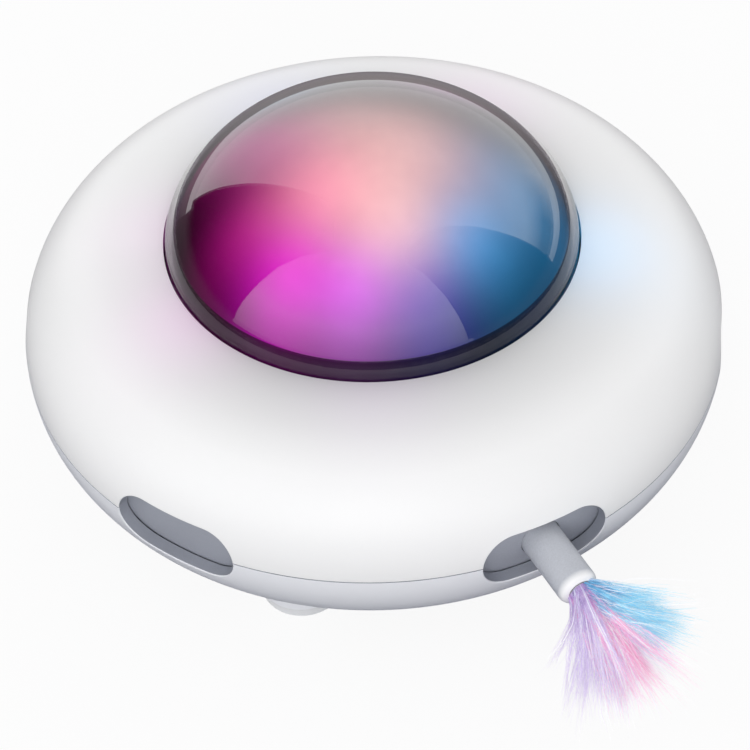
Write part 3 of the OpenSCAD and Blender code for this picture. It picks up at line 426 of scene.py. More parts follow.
MATERIALS = {
    # The white shell carries painted light: the lamps' spill painted as glow, and painted shade under the dome's
    # rim
    "shell_white": painted_rim_shade(light_up(
        plastic("shell_white", (0.88, 0.88, 0.885), 0.35, 2600.0, 0.012, 1.5e-6), "painted lamp spill", 1.0)),
    # Painted shade: a darker, bluer copy of the shell's white, for the lower shell
    "shell_white_shaded": plastic("shell_white_shaded", (0.85, 0.86, 0.9), 0.35, 2600.0, 0.012, 1.5e-6),
    "lens_smoke": smoked_lens(),
    # Painted glow: the dark band gives off the lamps' colours
    "bezel_black": light_up(
        plastic("bezel_black", (0.012, 0.008, 0.014), 0.35, 2000.0, 0.3, 1e-6), "painted rim glow", 0.7),
    "diffuser_frost": lamp_diffuser(),
    "gasket_rubber": plastic("gasket_rubber", (0.03, 0.03, 0.032), 0.7, 1800.0, 0.2, 6e-6),
    "foot_rubber": plastic("foot_rubber", (0.76, 0.77, 0.79), 0.6, 1800.0, 0.05, 6e-6),
    "inner_plastic": plastic("inner_plastic", (0.72, 0.72, 0.7), 0.5, 2200.0, 0.05, 4e-6),
    "drum_grey": plastic("drum_grey", (0.345, 0.362, 0.415), 0.5, 2200.0, 0.2, 1.2e-5),
    "wand_grey": wand_plastic(),
    "gear_acetal": plastic("gear_acetal", (0.82, 0.8, 0.74), 0.4, 2600.0, 0.04, 2e-6),
    "steel": metal("steel", (0.6, 0.6, 0.61), 0.28),
    "bronze": metal("bronze", (0.62, 0.42, 0.2), 0.35),
    "copper_gold": metal("copper_gold", (0.85, 0.6, 0.25), 0.25),
    "board_green": plastic("board_green", (0.02, 0.16, 0.05), 0.3, 700.0, 0.25, 4e-6),
    "chip_black": plastic("chip_black", (0.02, 0.02, 0.022), 0.6, 2500.0, 0.2, 4e-6),
    "led_white": plastic("led_white", (0.85, 0.84, 0.72), 0.3, 2500.0, 0.05, 2e-6),
    "cell_wrap": plastic("cell_wrap", (0.05, 0.13, 0.45), 0.25, 1200.0, 0.15, 3e-6),
    "button_grey": plastic("button_grey", (0.35, 0.36, 0.38), 0.5, 2200.0, 0.05, 4e-6),
    "feather_fluff": plastic("feather_fluff", (0.8, 0.7, 0.85), 0.6),
}


def plume_colours():
    """Dyed fibre: darker at the root as painted shade, clear in the middle, bleached towards the tip."""
    tree, given, out = new_group("plume colours", [
        ("Root", "NodeSocketColor", (0.3, 0.25, 0.5)),
        ("Middle", "NodeSocketColor", (0.5, 0.6, 0.8)),
        ("Tip", "NodeSocketColor", (0.9, 0.9, 0.95)),
    ], [("Colour", "NodeSocketColor"), ("Roughness", "NodeSocketFloat")])
    at = place(tree)
    reach = put(tree, "ShaderNodeVectorMath", {0: at, 1: TUFT_ROOT * MM}, operation="DISTANCE").outputs[1]
    fibre = noise(tree, 700.0, 2.0, 0.5, at)
    reach = math_node(tree, "MULTIPLY_ADD", math_node(tree, "SUBTRACT", fibre, 0.5), 0.012, reach)
    body = mix_colour(tree, span(tree, reach, 0.002, 0.013), given["Root"], given["Middle"])
    feed(tree, out["Colour"], mix_colour(tree, span(tree, reach, 0.025, 0.046), body, given["Tip"]))
    feed(tree, out["Roughness"], span(tree, fibre, 0.3, 0.7, 0.45, 0.65))
    return tree


GROUPS["plume"] = plume_colours()


def plume(name, root, middle, tip):
    made, tree, shader = new_material(name)
    unit = tree.nodes.new("ShaderNodeGroup")
    unit.node_tree = GROUPS["plume"]
    for label, value in (("Root", root), ("Middle", middle), ("Tip", tip)):
        feed(tree, unit.inputs[label], value)
    feed(tree, shader.inputs["Base Color"], unit.outputs["Colour"])
    feed(tree, shader.inputs["Roughness"], unit.outputs["Roughness"])
    # Painted glow: the fibres give off their own colour faintly, lifting the tuft's shade
    feed(tree, shader.inputs["Emission Color"], unit.outputs["Colour"])
    shader.inputs["Emission Strength"].default_value = 0.125
    shader.inputs["Sheen Weight"].default_value = 0.4
    shader.inputs["Specular IOR Level"].default_value = 0.3
    return made


# Root colours are dark as painted shade in the tuft's heart
PLUMES = [
    plume("plume_blue", (0.14, 0.42, 0.68), (0.36, 0.73, 0.9), (0.74, 0.9, 0.96)),
    plume("plume_pink", (0.5, 0.34, 0.68), (0.98, 0.53, 0.74), (0.97, 0.79, 0.88)),
    plume("plume_lilac", (0.5, 0.36, 0.66), (0.73, 0.64, 0.86), (0.9, 0.85, 0.94)),
    plume("plume_white", (0.66, 0.66, 0.84), (0.93, 0.93, 0.97), (0.97, 0.97, 0.98)),
    plume("plume_violet", (0.12, 0.1, 0.34), (0.32, 0.28, 0.58), (0.7, 0.66, 0.9)),
]
BLUE, PINK, LILAC, WHITE, VIOLET = range(5)
# Bands of the tuft: count of clumps, colour, turns and drops they head for, shares of the full length and
# how far they lead straight on from the wand
PLUME_BANDS = [
    (24, BLUE, (44, 58), (-0.18, -0.03), (0.56, 0.74), 0.12),
    (64, BLUE, (30, 52), (-0.4, -0.1), (0.7, 0.9), 0.2),
    (16, LILAC, (22, 36), (-0.55, -0.32), (0.78, 1.0), 0.25),
    (80, PINK, (-6, 26), (-0.92, -0.48), (0.76, 1.0), 0.3),
    # Short dark violet clumps deep in the tuft: painted shade between the fibres
    (14, VIOLET, (6, 36), (-0.55, -0.25), (0.3, 0.46), 0.3),
    (60, LILAC, (-38, 4), (-0.95, -0.5), (0.72, 1.02), 0.3),
    (9, PINK, (0, 24), (-0.4, -0.16), (0.98, 1.12), 0.3),
    (9, LILAC, (-16, 6), (-0.4, -0.16), (0.98, 1.12), 0.3),
    (8, LILAC, (-50, -24), (-0.7, -0.3), (0.45, 0.72), 0.25),
]
PLUME_SECTORS = 14
PLUME_LENGTH = 35.0
PLUME_ROOT_R = 3.05
PLUME_END = 38.5
PLUME_STRANDS = 19
PLUME_STEPS = 8
PLUME_CURL = 1.6
PLUME_WAVE = 0.95
LOOSE_SHARE = 0.16
PALE_SHARE = 0.13
LOOSE_WIDTHS = (0.09, 0.15)
PALE_WIDTHS = (0.18, 0.28)
PLAIN_WIDTHS = (0.11, 0.2)


def dress_nodes():
    slots = {s["node"]: s["material_slot"] for s in frame["record"]["subparts"]}
    for name, piece in frame["nodes"].items():
        piece.data.materials.clear()
        piece.data.materials.append(MATERIALS[slots[name]])


# Studio: camera, floor, sky, what the toy mirrors and the key lamp

FLOOR_HALF = 12.0
# Dark screens: distance and the heights their tone rises between, in metres; outlines as turns and rises
SCREEN_DISTANCE = 2.6
SCREEN_FADE = (2.6, 6.6)
MIRROR_Z = 0.085
SCREENS = {
    "screen_left": [(-107, -1.8), (-107.5, 45), (-112, 56), (-128, 68), (-95, 74), (-64, 70), (-55, 52),
                    (-50.5, 30), (-47, -1.8)],
    "screen_right": [(76, -1.8), (79, 25), (82.5, 45), (87, 55), (110, 72), (147, 68), (137, 55),
                     (134.7, 40), (134.5, -1.8)],
}
# Rings round the toy: radius and height in millimetres, rail tops by turn, and first and last turns
CARD_INSIDE = (2, 1.5)
RAIL_FOOT = (125, 2)
RAIL_R = 335
RAIL_TOPS = [(-55, 50), (-40, 50), (-28, 40), (0, 44), (30, 40), (57, 44), (80.5, 50), (134.7, 50),
             (180, 53), (249.5, 50)]
RAILS = [("rail_back", -55, 80.5), ("rail_front", 134.7, 249.5)]
PANEL_H = 50
PANEL_TOP = (337, 95)
PANELS = [("panel_left", -110.5, -55), ("panel_right", 80.5, 134.7)]
# Key lamp: turn to the left of the viewer and rise in degrees, distance and width in metres, watts
KEY_TURN, KEY_RISE = 3.0, 30.0
KEY_DISTANCE, KEY_WIDTH, KEY_POWER = 1.7, 1.1, 9.0


def make_camera():
    data = bpy.data.cameras.new("camera")
    data.lens = CAMERA_LENS
    data.sensor_width = 36.0
    data.clip_start = 0.01
    data.clip_end = 50.0
    camera = bpy.data.objects.new("camera", data)
    scene.collection.objects.link(camera)
    back = -VIEW_AWAY * math.cos(CAMERA_RISE) + Vector((0, 0, math.sin(CAMERA_RISE)))
    up = back.cross(VIEW_RIGHT)
    c, s = math.cos(CAMERA_ROLL), math.sin(CAMERA_ROLL)
    right, up = VIEW_RIGHT * c + up * s, up * c - VIEW_RIGHT * s
    aim = VIEW_RIGHT * AIM_RIGHT + Vector((0, 0, AIM_Z))
    turn = Matrix((right, up, back)).transposed().to_4x4()
    camera.matrix_world = Matrix.Translation((aim + back * CAMERA_DISTANCE) * MM) @ turn
    scene.camera = camera


def new_piece(name, points, faces, material, smooth=True):
    mesh = bpy.data.meshes.new(name)
    mesh.from_pydata([tuple(p) for p in points], [], [tuple(f) for f in faces])
    mesh.materials.append(material)
    if smooth:
        mesh.shade_smooth()
    mesh.update()
    piece = bpy.data.objects.new(name, mesh)
    scene.collection.objects.link(piece)
    return piece


def shown_rays(tree):
    """One for what the camera, mirrors and glass show, nought for light on its way to a dull surface."""
    path = put(tree, "ShaderNodeLightPath").outputs
    seen = math_node(tree, "MAXIMUM", path["Is Camera Ray"], path["Is Glossy Ray"])
    return math_node(tree, "MAXIMUM", seen, path["Is Transmission Ray"])


def floor_paper():
    """Pale floor that takes the toy's shadow, and looks near white to the camera, mirrors and glass."""
    made, tree, shader = new_material("floor_paper")
    grain = noise(tree, 60.0, 4.0, 0.6)
    seen = shown_rays(tree)
    pale = mix_colour(tree, grain, (0.84, 0.84, 0.85), (0.88, 0.88, 0.89))
    feed(tree, shader.inputs["Base Color"], mix_colour(tree, seen, (0.13, 0.135, 0.15), pale))
    shader.inputs["Roughness"].default_value = 0.9
    shader.inputs["Specular IOR Level"].default_value = 0.0
    glow = put(tree, "ShaderNodeEmission", {"Color": (1, 1, 1), "Strength": 1.0})
    both = put(tree, "ShaderNodeMixShader", {0: math_node(tree, "MULTIPLY", seen, 0.9)})
    tree.links.new(shader.outputs[0], both.inputs[1])
    tree.links.new(glow.outputs[0], both.inputs[2])
    tree.links.new(both.outputs[0], tree.nodes["Material Output"].inputs[0])
    return made


def screen_cloth(name, along, low, high, dark, light):
    """Dark cloth whose tone rises along a direction from one place to another, in metres."""
    made, tree, shader = new_material(name)
    weave = noise(tree, 30.0, 2.0)
    far = put(tree, "ShaderNodeVectorMath", {
        0: place(tree), 1: along}, operation="DOT_PRODUCT").outputs["Value"]
    tone = span(tree, math_node(tree, "MULTIPLY_ADD", weave, 0.02, far), low, high)
    feed(tree, shader.inputs["Emission Color"], mix_colour(tree, tone, dark, light))
    shader.inputs["Emission Strength"].default_value = 1.0
    feed(tree, shader.inputs["Base Color"], mix_colour(tree, weave, (0.01, 0.01, 0.01), (0.015, 0.015, 0.015)))
    shader.inputs["Roughness"].default_value = 1.0
    shader.inputs["Specular IOR Level"].default_value = 0.0
    return made


def mirrors_only(panel):
    panel.visible_camera = False
    panel.visible_diffuse = False
    panel.visible_shadow = False


def flat_way(turn):
    """The level direction at a turn from straight behind the toy, to the right, in degrees."""
    t = math.radians(turn)
    return VIEW_AWAY * math.cos(t) + VIEW_RIGHT * math.sin(t)


def heading(turn, rise, distance):
    """A point seen from the dome at a turn from straight behind, to the right, and a rise, in metres."""
    return flat_way(turn) * distance + Vector((0, 0, MIRROR_Z + distance * math.tan(math.radians(rise))))


def make_floor():
    half = FLOOR_HALF
    floor = new_piece("floor", [(-half, -half, 0), (half, -half, 0), (half, half, 0), (-half, half, 0)],
                      [(0, 1, 2, 3)], floor_paper())


def make_screens():
    """Dark screens at both sides, which the dome mirrors."""
    cloth = screen_cloth("screen_cloth", (0, 0, 1), *SCREEN_FADE, (0.0, 0.0, 0.0), (0.24, 0.24, 0.24))
    for name, outline in SCREENS.items():
        points = [heading(turn, rise, SCREEN_DISTANCE) for turn, rise in outline]
        mirrors_only(new_piece(name, points, [tuple(range(len(points)))], cloth, smooth=False))


def make_rings():
    """Low rails and panels round the toy, mirrored in the dome's foot, and a dark card under it as painted shade,
    standing in for the shaded floor that the lower shell mirrors.
    """
    cloth = screen_cloth("rail_cloth", VIEW_AWAY, 0.14, 0.34, (0.13, 0.12, 0.14), (0.43, 0.39, 0.39))
    for name, first, last in RAILS:
        low_ring(name, cloth, [(turn, RAIL_FOOT, (RAIL_R, height)) for turn, height in RAIL_TOPS
                               if first <= turn <= last])
    cloth = screen_cloth("panel_cloth", (0, 0, 1), 0.06, 0.1, (0.1, 0.095, 0.1), (0.0, 0.0, 0.0))
    for name, first, last in PANELS:
        low_ring(name, cloth, [(turn, RAIL_FOOT, (RAIL_R, PANEL_H), PANEL_TOP) for turn in (first, last)])
    # Painted shade: a dark card under the toy, seen only by mirrors, in place of the shaded floor
    cloth = screen_cloth("floor_shade_cloth", VIEW_AWAY, -0.1, 0.12, (0.03, 0.045, 0.11), (0.09, 0.1, 0.15))
    low_ring("floor_shade_card", cloth, [(turn, CARD_INSIDE, RAIL_FOOT) for turn in (-180, 180)])


def make_key_lamp():
    """A round lamp on the viewer's side that mirrors and glass don't show."""
    data = bpy.data.lights.new("key_lamp", "AREA")
    data.shape = "DISK"
    data.size = KEY_WIDTH
    data.energy = KEY_POWER
    lamp = bpy.data.objects.new("key_lamp", data)
    scene.collection.objects.link(lamp)
    rise = math.radians(KEY_RISE)
    toward = flat_way(180 + KEY_TURN) * math.cos(rise) + Vector((0, 0, math.sin(rise)))
    lamp.location = toward * KEY_DISTANCE
    lamp.rotation_euler = lamp.location.to_track_quat("Z", "Y").to_euler()
    lamp.visible_glossy = False
    lamp.visible_transmission = False


def low_ring(name, cloth, stops, step=2.0):
    """A strip round the toy through radius and height pairs, in millimetres, given at turns from behind."""
    turns = np.linspace(stops[0][0], stops[-1][0], int((stops[-1][0] - stops[0][0]) / step) + 1)
    known = [stop[0] for stop in stops]
    edges = len(stops[0]) - 1
    points, faces = [], []
    for i, turn in enumerate(turns):
        for edge in range(1, edges + 1):
            radius, height = (np.interp(turn, known, [stop[edge][k] for stop in stops]) for k in (0, 1))
            flat = flat_way(turn) * radius
            points.append(Vector((flat.x, flat.y, height)) * MM)
        if i:
            first = (i - 1) * edges
            faces += [(first + k, first + edges + k, first + edges + k + 1, first + k + 1)
                      for k in range(edges - 1)]
    mirrors_only(new_piece(name, points, faces, cloth))


# Sky levels by height: lighting from the viewer's side, from behind the toy, and as mirrors and glass show it
SKY_FRONT = [(0.0, 2.1), (0.12, 1.95), (0.25, 1.32), (0.4, 0.9), (0.55, 0.76), (1.0, 0.72)]
SKY_BACK = [(0.0, 1.85), (0.25, 1.9), (0.4, 1.7), (0.55, 1.2), (0.7, 0.67), (1.0, 0.3)]
SKY_MIRROR = [(0.0, 1.1), (0.45, 1.1), (0.7, 0.75), (0.87, 0.3), (1.0, 0.18)]


def sky_levels(tree, up, levels):
    ramp = put(tree, "ShaderNodeValToRGB", {0: up})
    stops = ramp.color_ramp.elements
    while len(stops) < len(levels):
        stops.new(0.5)
    for stop, (height, level) in zip(stops, levels):
        stop.position = height
        stop.color = (level, level, level, 1)
    return ramp.outputs[0]


def sky_light():
    """Soft light from all round, strongest from low down."""
    world = bpy.data.worlds.new("studio")
    scene.world = world
    world.use_nodes = True
    tree = world.node_tree
    toward = put(tree, "ShaderNodeTexCoord").outputs["Generated"]
    up = put(tree, "ShaderNodeSeparateXYZ", {0: toward}).outputs["Z"]
    away, right = (
        put(tree, "ShaderNodeVectorMath", {0: toward, 1: way}, operation="DOT_PRODUCT").outputs["Value"]
        for way in (VIEW_AWAY, VIEW_RIGHT))
    front_dim = span(tree, right, 0.15, 0.85, 0.0, 0.35)
    front = mix_colour(tree, front_dim, sky_levels(tree, up, SKY_FRONT), (0, 0, 0))
    light = mix_colour(tree, span(tree, away, -0.4, 0.4), front, sky_levels(tree, up, SKY_BACK))
    dim = math_node(tree, "MULTIPLY", span(tree, right, 0.68, 0.88), span(tree, up, 0.14, 0.34, 0.78, 0.0))
    mirror = mix_colour(tree, dim, sky_levels(tree, up, SKY_MIRROR), (0, 0, 0))
    feed(tree, tree.nodes["Background"].inputs["Color"], mix_colour(tree, shown_rays(tree), light, mirror))
    tree.nodes["Background"].inputs["Strength"].default_value = 1.0


def make_studio():
    make_floor()
    sky_light()
    make_screens()
    make_rings()
    make_key_lamp()


# Pieces that stand for the CAD nodes, smooth where those are faceted

def settle(piece, body, slot, *nodes):
    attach(piece, body)
    if nodes:
        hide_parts(*nodes)
    return piece


def joined(*parts):
    """Several lists of points and faces as one."""
    points, faces = [], []
    for some_points, some_faces in parts:
        start = len(points)
        points += some_points
        faces += [tuple(start + i for i in face) for face in some_faces]
    return points, faces


def grid_faces(columns, rows, closed_rows=False):
    """Quads over a grid stored column by column; columns always close on themselves."""
    faces = []
    last = rows if closed_rows else rows - 1
    for i in range(columns):
        j = (i + 1) % columns
        for k in range(last):
            n = (k + 1) % rows
            faces.append((i * rows + k, j * rows + k, j * rows + n, i * rows + n))
    return faces


def lathe(line, segments, centre=(0.0, 0.0)):
    """A closed outline of radius and height pairs, in millimetres, turned round the upright axis."""
    points = []
    for i in range(segments):
        turn = math.tau * i / segments
        points += [((centre[0] + r * math.cos(turn)) * MM, (centre[1] + r * math.sin(turn)) * MM, z * MM)
                   for r, z in line]
    return points, grid_faces(segments, len(line), closed_rows=True)


def arc(centre, radius, start, end, steps):
    return [(centre[0] + radius * math.cos(start + (end - start) * i / steps),
             centre[1] + radius * math.sin(start + (end - start) * i / steps)) for i in range(steps + 1)]


def dome_line(inset, low=0.0, high=1.0, steps=64):
    """The dome's outline, inset from the outside, between two shares of the quarter turn from its rim up."""
    power = 2 / DOME_POWER
    line = []
    for i in range(steps + 1):
        turn = math.pi / 2 * (low + (high - low) * i / steps)
        line.append(((DOME_R - inset) * max(math.cos(turn), 1e-5) ** power,
                     RIM_Z + (DOME_H - inset) * math.sin(turn) ** power))
    return line


def dome_layer(name, line, segments, slot, node):
    piece = new_piece(name, *lathe(line, segments), MATERIALS[slot])
    piece.data.set_sharp_from_angle(angle=math.radians(50))
    settle(piece, "base", slot, node)


def dome_pieces():
    flange = [(FLANGE_R, FLANGE_LOW), (FLANGE_R, FLANGE_TOP), (NECK_R, FLANGE_TOP), (DOME_R, NECK_Z)]
    lens = flange + dome_line(0.0) + dome_line(LENS_WALL)[::-1] + [(DOME_R - LENS_WALL, FLANGE_LOW)]
    dome_layer("dome_skin", lens, 256, "lens_smoke", "dome_lens")
    outer, inner = BAND_INSETS
    band = [(DOME_R - inner, LINING_LOW), (DOME_R - outer, LINING_LOW)]
    band += dome_line(outer, 0.0, BEZEL_SHARE, 10) + dome_line(inner, 0.0, BEZEL_SHARE, 10)[::-1]
    dome_layer("dome_band", band, 192, "bezel_black", "lens_bezel")
    outer, inner = GLOW_INSETS
    glow = [(DOME_R - outer, LINING_LOW)] + dome_line(outer, steps=48)
    glow += dome_line(inner, steps=48)[::-1] + [(DOME_R - inner, LINING_LOW)]
    dome_layer("dome_glow", glow, 192, "diffuser_frost", "light_diffuser")


def side_radius(z, inset, sign):
    """How far out the shell's side is at a height near the seam."""
    centre, radius = (SHOULDER_C, SHOULDER_R) if sign > 0 else (FLANK_C, FLANK_R)
    return centre[0] + math.sqrt((radius - inset) ** 2 - (z - SEAM_Z) ** 2)


def shell_line(z, inset, sign, steps):
    """The shell's outline from a height near the seam up to the rim, or down to the middle of the base."""
    if sign > 0:
        start = math.asin((z - SEAM_Z) / (SHOULDER_R - inset))
        end = math.acos((RIM_R - CROWN_C[0]) / (CROWN_R - inset))
        line = arc(SHOULDER_C, SHOULDER_R - inset, start, SHOULDER_TURN, steps)
        return line + arc(CROWN_C, CROWN_R - inset, SHOULDER_TURN, end, 10)[1:]
    start = math.asin((z - SEAM_Z) / (FLANK_R - inset))
    line = arc(FLANK_C, FLANK_R - inset, start, -FLANK_TURN, steps)
    line += arc(BELLY_C, BELLY_R - inset, -FLANK_TURN, -math.pi / 2, 12)[1:]
    return line + [(BELLY_C[0] * share, BASE_Z + inset) for share in (0.66, 0.33, 0.002)]


def edge_columns(sign):
    """Columns round the shell's split edge. Each gives, for a share 0 to 1 of the rounding, its angle round the
    slot's middle or its sideways place, its height and how deep under the outside it is."""
    arc_steps, flat_steps, seam_steps = 16, 8, 14

    def slot_column(side, share):
        def at(part):
            turn = part * math.pi / 2
            grown = SLOT_R + EDGE * (1 - math.sin(turn))
            height = SEAM_Z - SLOT_Z + sign * GROOVE_H * (GROOVE_FLARE - part)
            first = math.asin(height * sign / grown)
            angle = first + (math.pi / 2 - first) * share
            return (side * (SLOT_FLAT + grown * math.cos(angle)), SLOT_Z + sign * grown * math.sin(angle),
                    EDGE * (1 - math.cos(turn)), False)
        return at

    def flat_column(place_y):
        def at(part):
            turn = part * math.pi / 2
            grown = SLOT_R + EDGE * (1 - math.sin(turn))
            return place_y, SLOT_Z + sign * grown, EDGE * (1 - math.cos(turn)), False
        return at

    def seam_column(turn):
        def at(part):
            return turn, SEAM_Z + sign * GROOVE_H * (GROOVE_FLARE - part), GROOVE_DEPTH * part, True
        return at

    half = math.pi / SLOT_COUNT
    end = math.asin((SLOT_FLAT + SLOT_R + EDGE) / BODY_R)
    seam = [end + (half - end) * (i / seam_steps) ** 1.4 for i in range(1, seam_steps + 1)]
    columns = [seam_column(-t) for t in seam[:-1][::-1]]
    columns += [slot_column(-1, i / arc_steps) for i in range(arc_steps + 1)]
    columns += [flat_column(SLOT_FLAT * (2 * i / flat_steps - 1)) for i in range(1, flat_steps)]
    columns += [slot_column(1, 1 - i / arc_steps) for i in range(arc_steps + 1)]
    columns += [seam_column(t) for t in seam]
    return columns


def shell_grid(sign):
    """One half of the shell, outside, rounded slot edges, wall and inside, as points and faces, and which faces
    take the grey: the slots' lining, and painted shade in the seam's groove.
    """
    points, in_slot = [], []
    columns = edge_columns(sign)
    rows, edge_row, wall_row = 0, 0, 0
    for k in range(SLOT_COUNT):
        middle = -math.pi / 2 + math.tau * k / SLOT_COUNT
        for column in columns:
            line = []

            def add(turn, r, z):
                line.append((r * math.cos(middle + turn) * MM, r * math.sin(middle + turn) * MM, z * MM))

            def turn_at(y, r, is_turn):
                return y if is_turn else math.asin(y / r)

            y, z, _, is_turn = column(0.0)
            turn = turn_at(y, side_radius(z, 0.0, sign), is_turn)
            outside = shell_line(z, 0.0, sign, 26)
            near = shell_line(z + sign * 0.15, 0.0, sign, 26)[0]
            for r, height in [*outside[:0:-1], near, outside[0]]:
                add(turn, r, height)
            edge_row = len(line) - 1
            for part in EDGE_PARTS:
                y, z, depth, is_turn = column(part)
                r = side_radius(z, 0.0, sign) - depth
                add(turn_at(y, r, is_turn), r, z)
            wall_row = len(line) - 1
            in_slot.append(not is_turn)
            inner = side_radius(z, WALL if is_turn else WALL + LINER, sign)
            for share in (0.05, 0.95):
                r_here = r + (inner - r) * share
                add(turn_at(y, r_here, is_turn), r_here, z)
            turn = turn_at(y, inner, is_turn)
            add(turn, inner, z)
            for r, height in shell_line(z + sign * 0.6, WALL, sign, 12):
                add(turn, r, height)
            rows = len(line)
            points += line
    total = SLOT_COUNT * len(columns)
    faces = grid_faces(total, rows, closed_rows=True)
    # Grey faces: the slots' lining, and the seam's groove painted grey as shade
    lining_and_groove_shade = []
    for i in range(total):
        first = wall_row if in_slot[i] and in_slot[(i + 1) % total] else edge_row
        lining_and_groove_shade += [int(first <= k < wall_row + 3) for k in range(rows)]
    return points, faces, lining_and_groove_shade


def upper_shell_piece():
    points, faces, lining_and_groove_shade = shell_grid(1)
    piece = new_piece("shell_top", points, faces, MATERIALS["shell_white"])
    piece.data.materials.append(MATERIALS["drum_grey"])
    piece.data.polygons.foreach_set("material_index", lining_and_groove_shade)
    tidy_normals(piece)
    settle(piece, "base", "shell_white", "upper_shell")


def prism(outline, low, high):
    """A closed block along the X axis over an outline of Y and Z pairs, in millimetres."""
    count = len(outline)
    points = [(x * MM, y * MM, z * MM) for x in (low, high) for y, z in outline]
    faces = [tuple(range(count)), tuple(range(2 * count - 1, count - 1, -1))]
    faces += [(i, count + i, count + (i + 1) % count, (i + 1) % count) for i in range(count)]
    return points, faces


def rounded_box(width, height, z, corner, steps=6):
    line = []
    for k, (y_side, z_side) in enumerate(((1, 1), (-1, 1), (-1, -1), (1, -1))):
        centre = (y_side * (width / 2 - corner), z + z_side * (height / 2 - corner))
        line += arc(centre, corner, math.pi / 2 * k, math.pi / 2 * (k + 1), steps)
    return line


def cut_away(piece, points, faces):
    """Cuts a set of closed blocks out of a piece."""
    cutter = new_piece("cutter", points, faces, MATERIALS["shell_white"])
    tidy_normals(cutter)
    cut = piece.modifiers.new("cut", "BOOLEAN")
    cut.operation = "DIFFERENCE"
    cut.solver = "EXACT"
    cut.use_self = True
    cut.object = cutter
    seen = piece.evaluated_get(bpy.context.evaluated_depsgraph_get())
    mesh = bpy.data.meshes.new_from_object(seen)
    piece.modifiers.clear()
    piece.data = mesh
    bpy.data.objects.remove(cutter)


def port_backing(face, port_z):
    """The block behind the charging port, kept inside the shell's outside."""
    low, high = port_z - BACKING_BELOW, port_z + BACKING_ABOVE
    outline = [(face - BACKING_DEEP, low), (face - BACKING_DEEP, high)]
    outline += [(side_radius(z, BACKING_INSET, -1), z) for z in np.linspace(high, low, 9)]
    points, faces = prism(outline, -BACKING_HALF, BACKING_HALF)
    return [(y, x, z) for x, y, z in points], faces


def post(radius, low, high, segments, x):
    """A solid upright post over a place on the X axis."""
    return lathe([(AXIS_R, low), (radius, low), (radius, high), (AXIS_R, high)], segments, (x, 0.0))


def lower_shell_piece():
    socket_low, socket_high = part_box("charge_socket")
    button_low, button_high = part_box("power_button")
    feet_low, feet_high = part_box("rubber_feet")
    face = socket_high[0] / MM
    port_z = (socket_low[2] + socket_high[2]) / 2 / MM
    button_x = (button_low[0] + button_high[0]) / 2 / MM
    points, faces, lining_and_groove_shade = shell_grid(-1)
    foot = feet_high[0] / MM - FOOT_R
    boss_r = FOOT_R + BOSS_RIM
    boss_line = [(AXIS_R, BOSS_LOW), (boss_r - BOSS_BEVEL, BOSS_LOW), (boss_r, BOSS_LOW + BOSS_BEVEL),
                 (boss_r, BOSS_TOP), (AXIS_R, BOSS_TOP)]
    bosses = [lathe(boss_line, 64, (x * foot, y * foot)) for x in (-1, 1) for y in (-1, 1)]
    backing = port_backing(face, port_z)
    collar = post(COLLAR_R, COLLAR_LOW, COLLAR_TOP, 48, button_x)
    whole = joined((points, faces), *bosses, backing, collar)
    # The lower shell takes the painted-shade copy of the shell's white
    piece = new_piece("shell_base", *whole, MATERIALS["shell_white_shaded"])
    piece.data.materials.append(MATERIALS["drum_grey"])
    piece.data.polygons.foreach_set("material_index", lining_and_groove_shade + [0] * (len(whole[1]) - len(lining_and_groove_shade)))
    tidy_normals(piece)
    port = prism(rounded_box(PORT_W, PORT_H, port_z, PORT_CORNER), face, BODY_R + PORT_PAST)
    socket = prism(rounded_box(SOCKET_W, SOCKET_H, port_z, SOCKET_CORNER), face - SOCKET_DEEP, face + SOCKET_PAST)
    hole = post(BUTTON_HOLE_R, BUTTON_HOLE_LOW, BUTTON_HOLE_TOP, 64, button_x)
    cut_away(piece, *joined(port, socket, hole))
    piece.data.set_sharp_from_angle(angle=math.radians(40))
    settle(piece, "base", "shell_white", "lower_shell")


def tidy_normals(piece, angle=40):
    shape = bmesh.new()
    shape.from_mesh(piece.data)
    bmesh.ops.recalc_face_normals(shape, faces=shape.faces)
    shape.to_mesh(piece.data)
    shape.free()
    piece.data.set_sharp_from_angle(angle=math.radians(angle))


def plume_strand(rng, start, bend, end, width, wave, beat):
    """One flat fibre along a bent, waved line, narrowing to its tip."""
    share = np.linspace(0, 1, PLUME_STEPS + 1)[:, None]
    path = start * (1 - share) ** 2 + 2 * bend * share * (1 - share) + end * share ** 2
    path = path + wave * np.sin(share * beat[0] + beat[1]) * share
    across = np.cross(end - start, rng.normal(size=3))
    across /= np.linalg.norm(across)
    half = width / 2 * (0.12 + 0.88 * (1 - share) ** 0.7)
    return np.stack([path - across * half, path + across * half], 1).reshape(-1, 3)


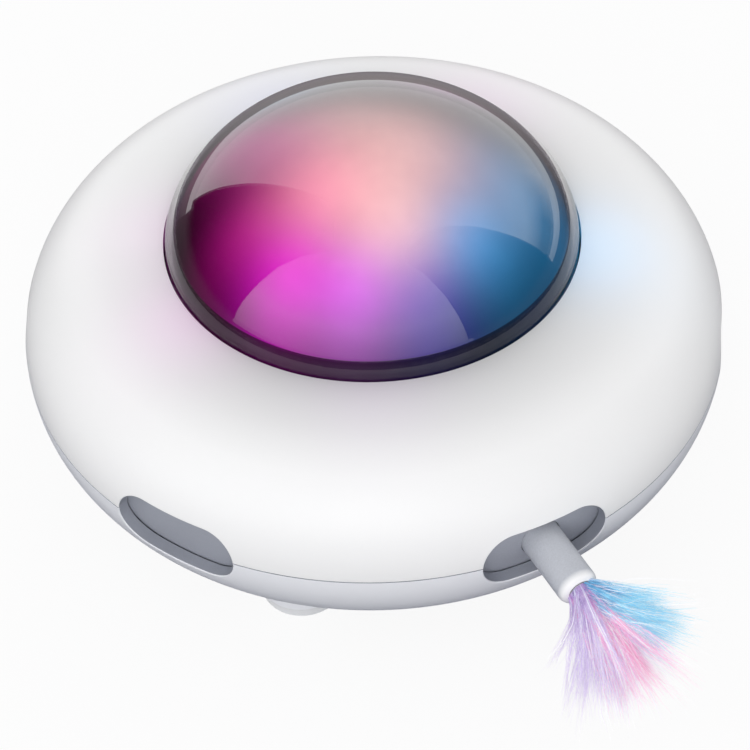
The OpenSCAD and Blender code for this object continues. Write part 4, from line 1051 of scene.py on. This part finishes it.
def feather_pieces():
    """The tuft: fine dyed fibres in clumps, cut into sectors round the wand."""
    rng = np.random.default_rng(41)
    root = np.array(TUFT_ROOT)
    sectors = [([], [], []) for _ in range(PLUME_SECTORS)]
    clumps = [band[1:] for band in PLUME_BANDS for _ in range(band[0])]
    for shade, turns, drops, shares, lead in clumps:
        turn = math.radians(rng.uniform(*turns))
        heading_to = np.array([math.sin(turn), -math.cos(turn), rng.uniform(*drops)])
        heading_to /= np.linalg.norm(heading_to)
        length = PLUME_LENGTH * rng.uniform(*shares)
        around, out = rng.uniform(0, math.tau), PLUME_ROOT_R * math.sqrt(rng.uniform())
        start = root + np.array([out * math.cos(around), 0, out * math.sin(around)])
        curl = rng.normal(size=3) * PLUME_CURL
        wave, beat = rng.normal(size=3) * PLUME_WAVE, (rng.uniform(6, 11), rng.uniform(0, 6))
        for _ in range(PLUME_STRANDS):
            loose = rng.uniform() < LOOSE_SHARE
            spread = 3.2 if loose else 0.95
            reach = length * (rng.uniform(0.6, 1.06) if loose else rng.uniform(0.7, 1.0))
            stray = rng.normal(size=3) * spread * np.array([1, 0.6, 1]) * reach / length
            end = start + heading_to * reach + stray
            end[1] = max(end[1], -WAND_REACH - PLUME_END)
            bend = start + np.array([0, -lead * reach, 0]) + heading_to * 0.14 * reach + curl * 0.5
            bend = bend + rng.normal(size=3) * 0.6
            pale = not loose and rng.uniform() < PALE_SHARE
            thick = rng.uniform(*(LOOSE_WIDTHS if loose else PALE_WIDTHS if pale else PLAIN_WIDTHS))
            ring = plume_strand(rng, start + rng.normal(size=3) * 0.15, bend, end, thick,
                                wave + rng.normal(size=3) * 0.2, beat)
            off = end - root
            sector = int((math.atan2(off[2], off[0]) / math.tau % 1.0) * PLUME_SECTORS) % PLUME_SECTORS
            points, faces, shades = sectors[sector]
            first = len(points)
            points += [tuple(p * MM) for p in ring]
            faces += [(k, k + 1, k + 3, k + 2) for k in range(first, first + 2 * PLUME_STEPS, 2)]
            shades += [WHITE if loose or pale else shade] * PLUME_STEPS
    for k, (points, faces, shades) in enumerate(sectors):
        if not points:
            continue
        piece = new_piece(f"plume_{k + 1:02d}", points, faces, PLUMES[0])
        for other in PLUMES[1:]:
            piece.data.materials.append(other)
        piece.data.polygons.foreach_set("material_index", shades)
        turn = math.tau * (k + 0.5) / PLUME_SECTORS
        settle(piece, "wand", "feather_fluff", "feather_tuft")
        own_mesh(piece)


make_camera()
make_studio()
dress_nodes()
dome_pieces()
upper_shell_piece()
lower_shell_piece()
feather_pieces()
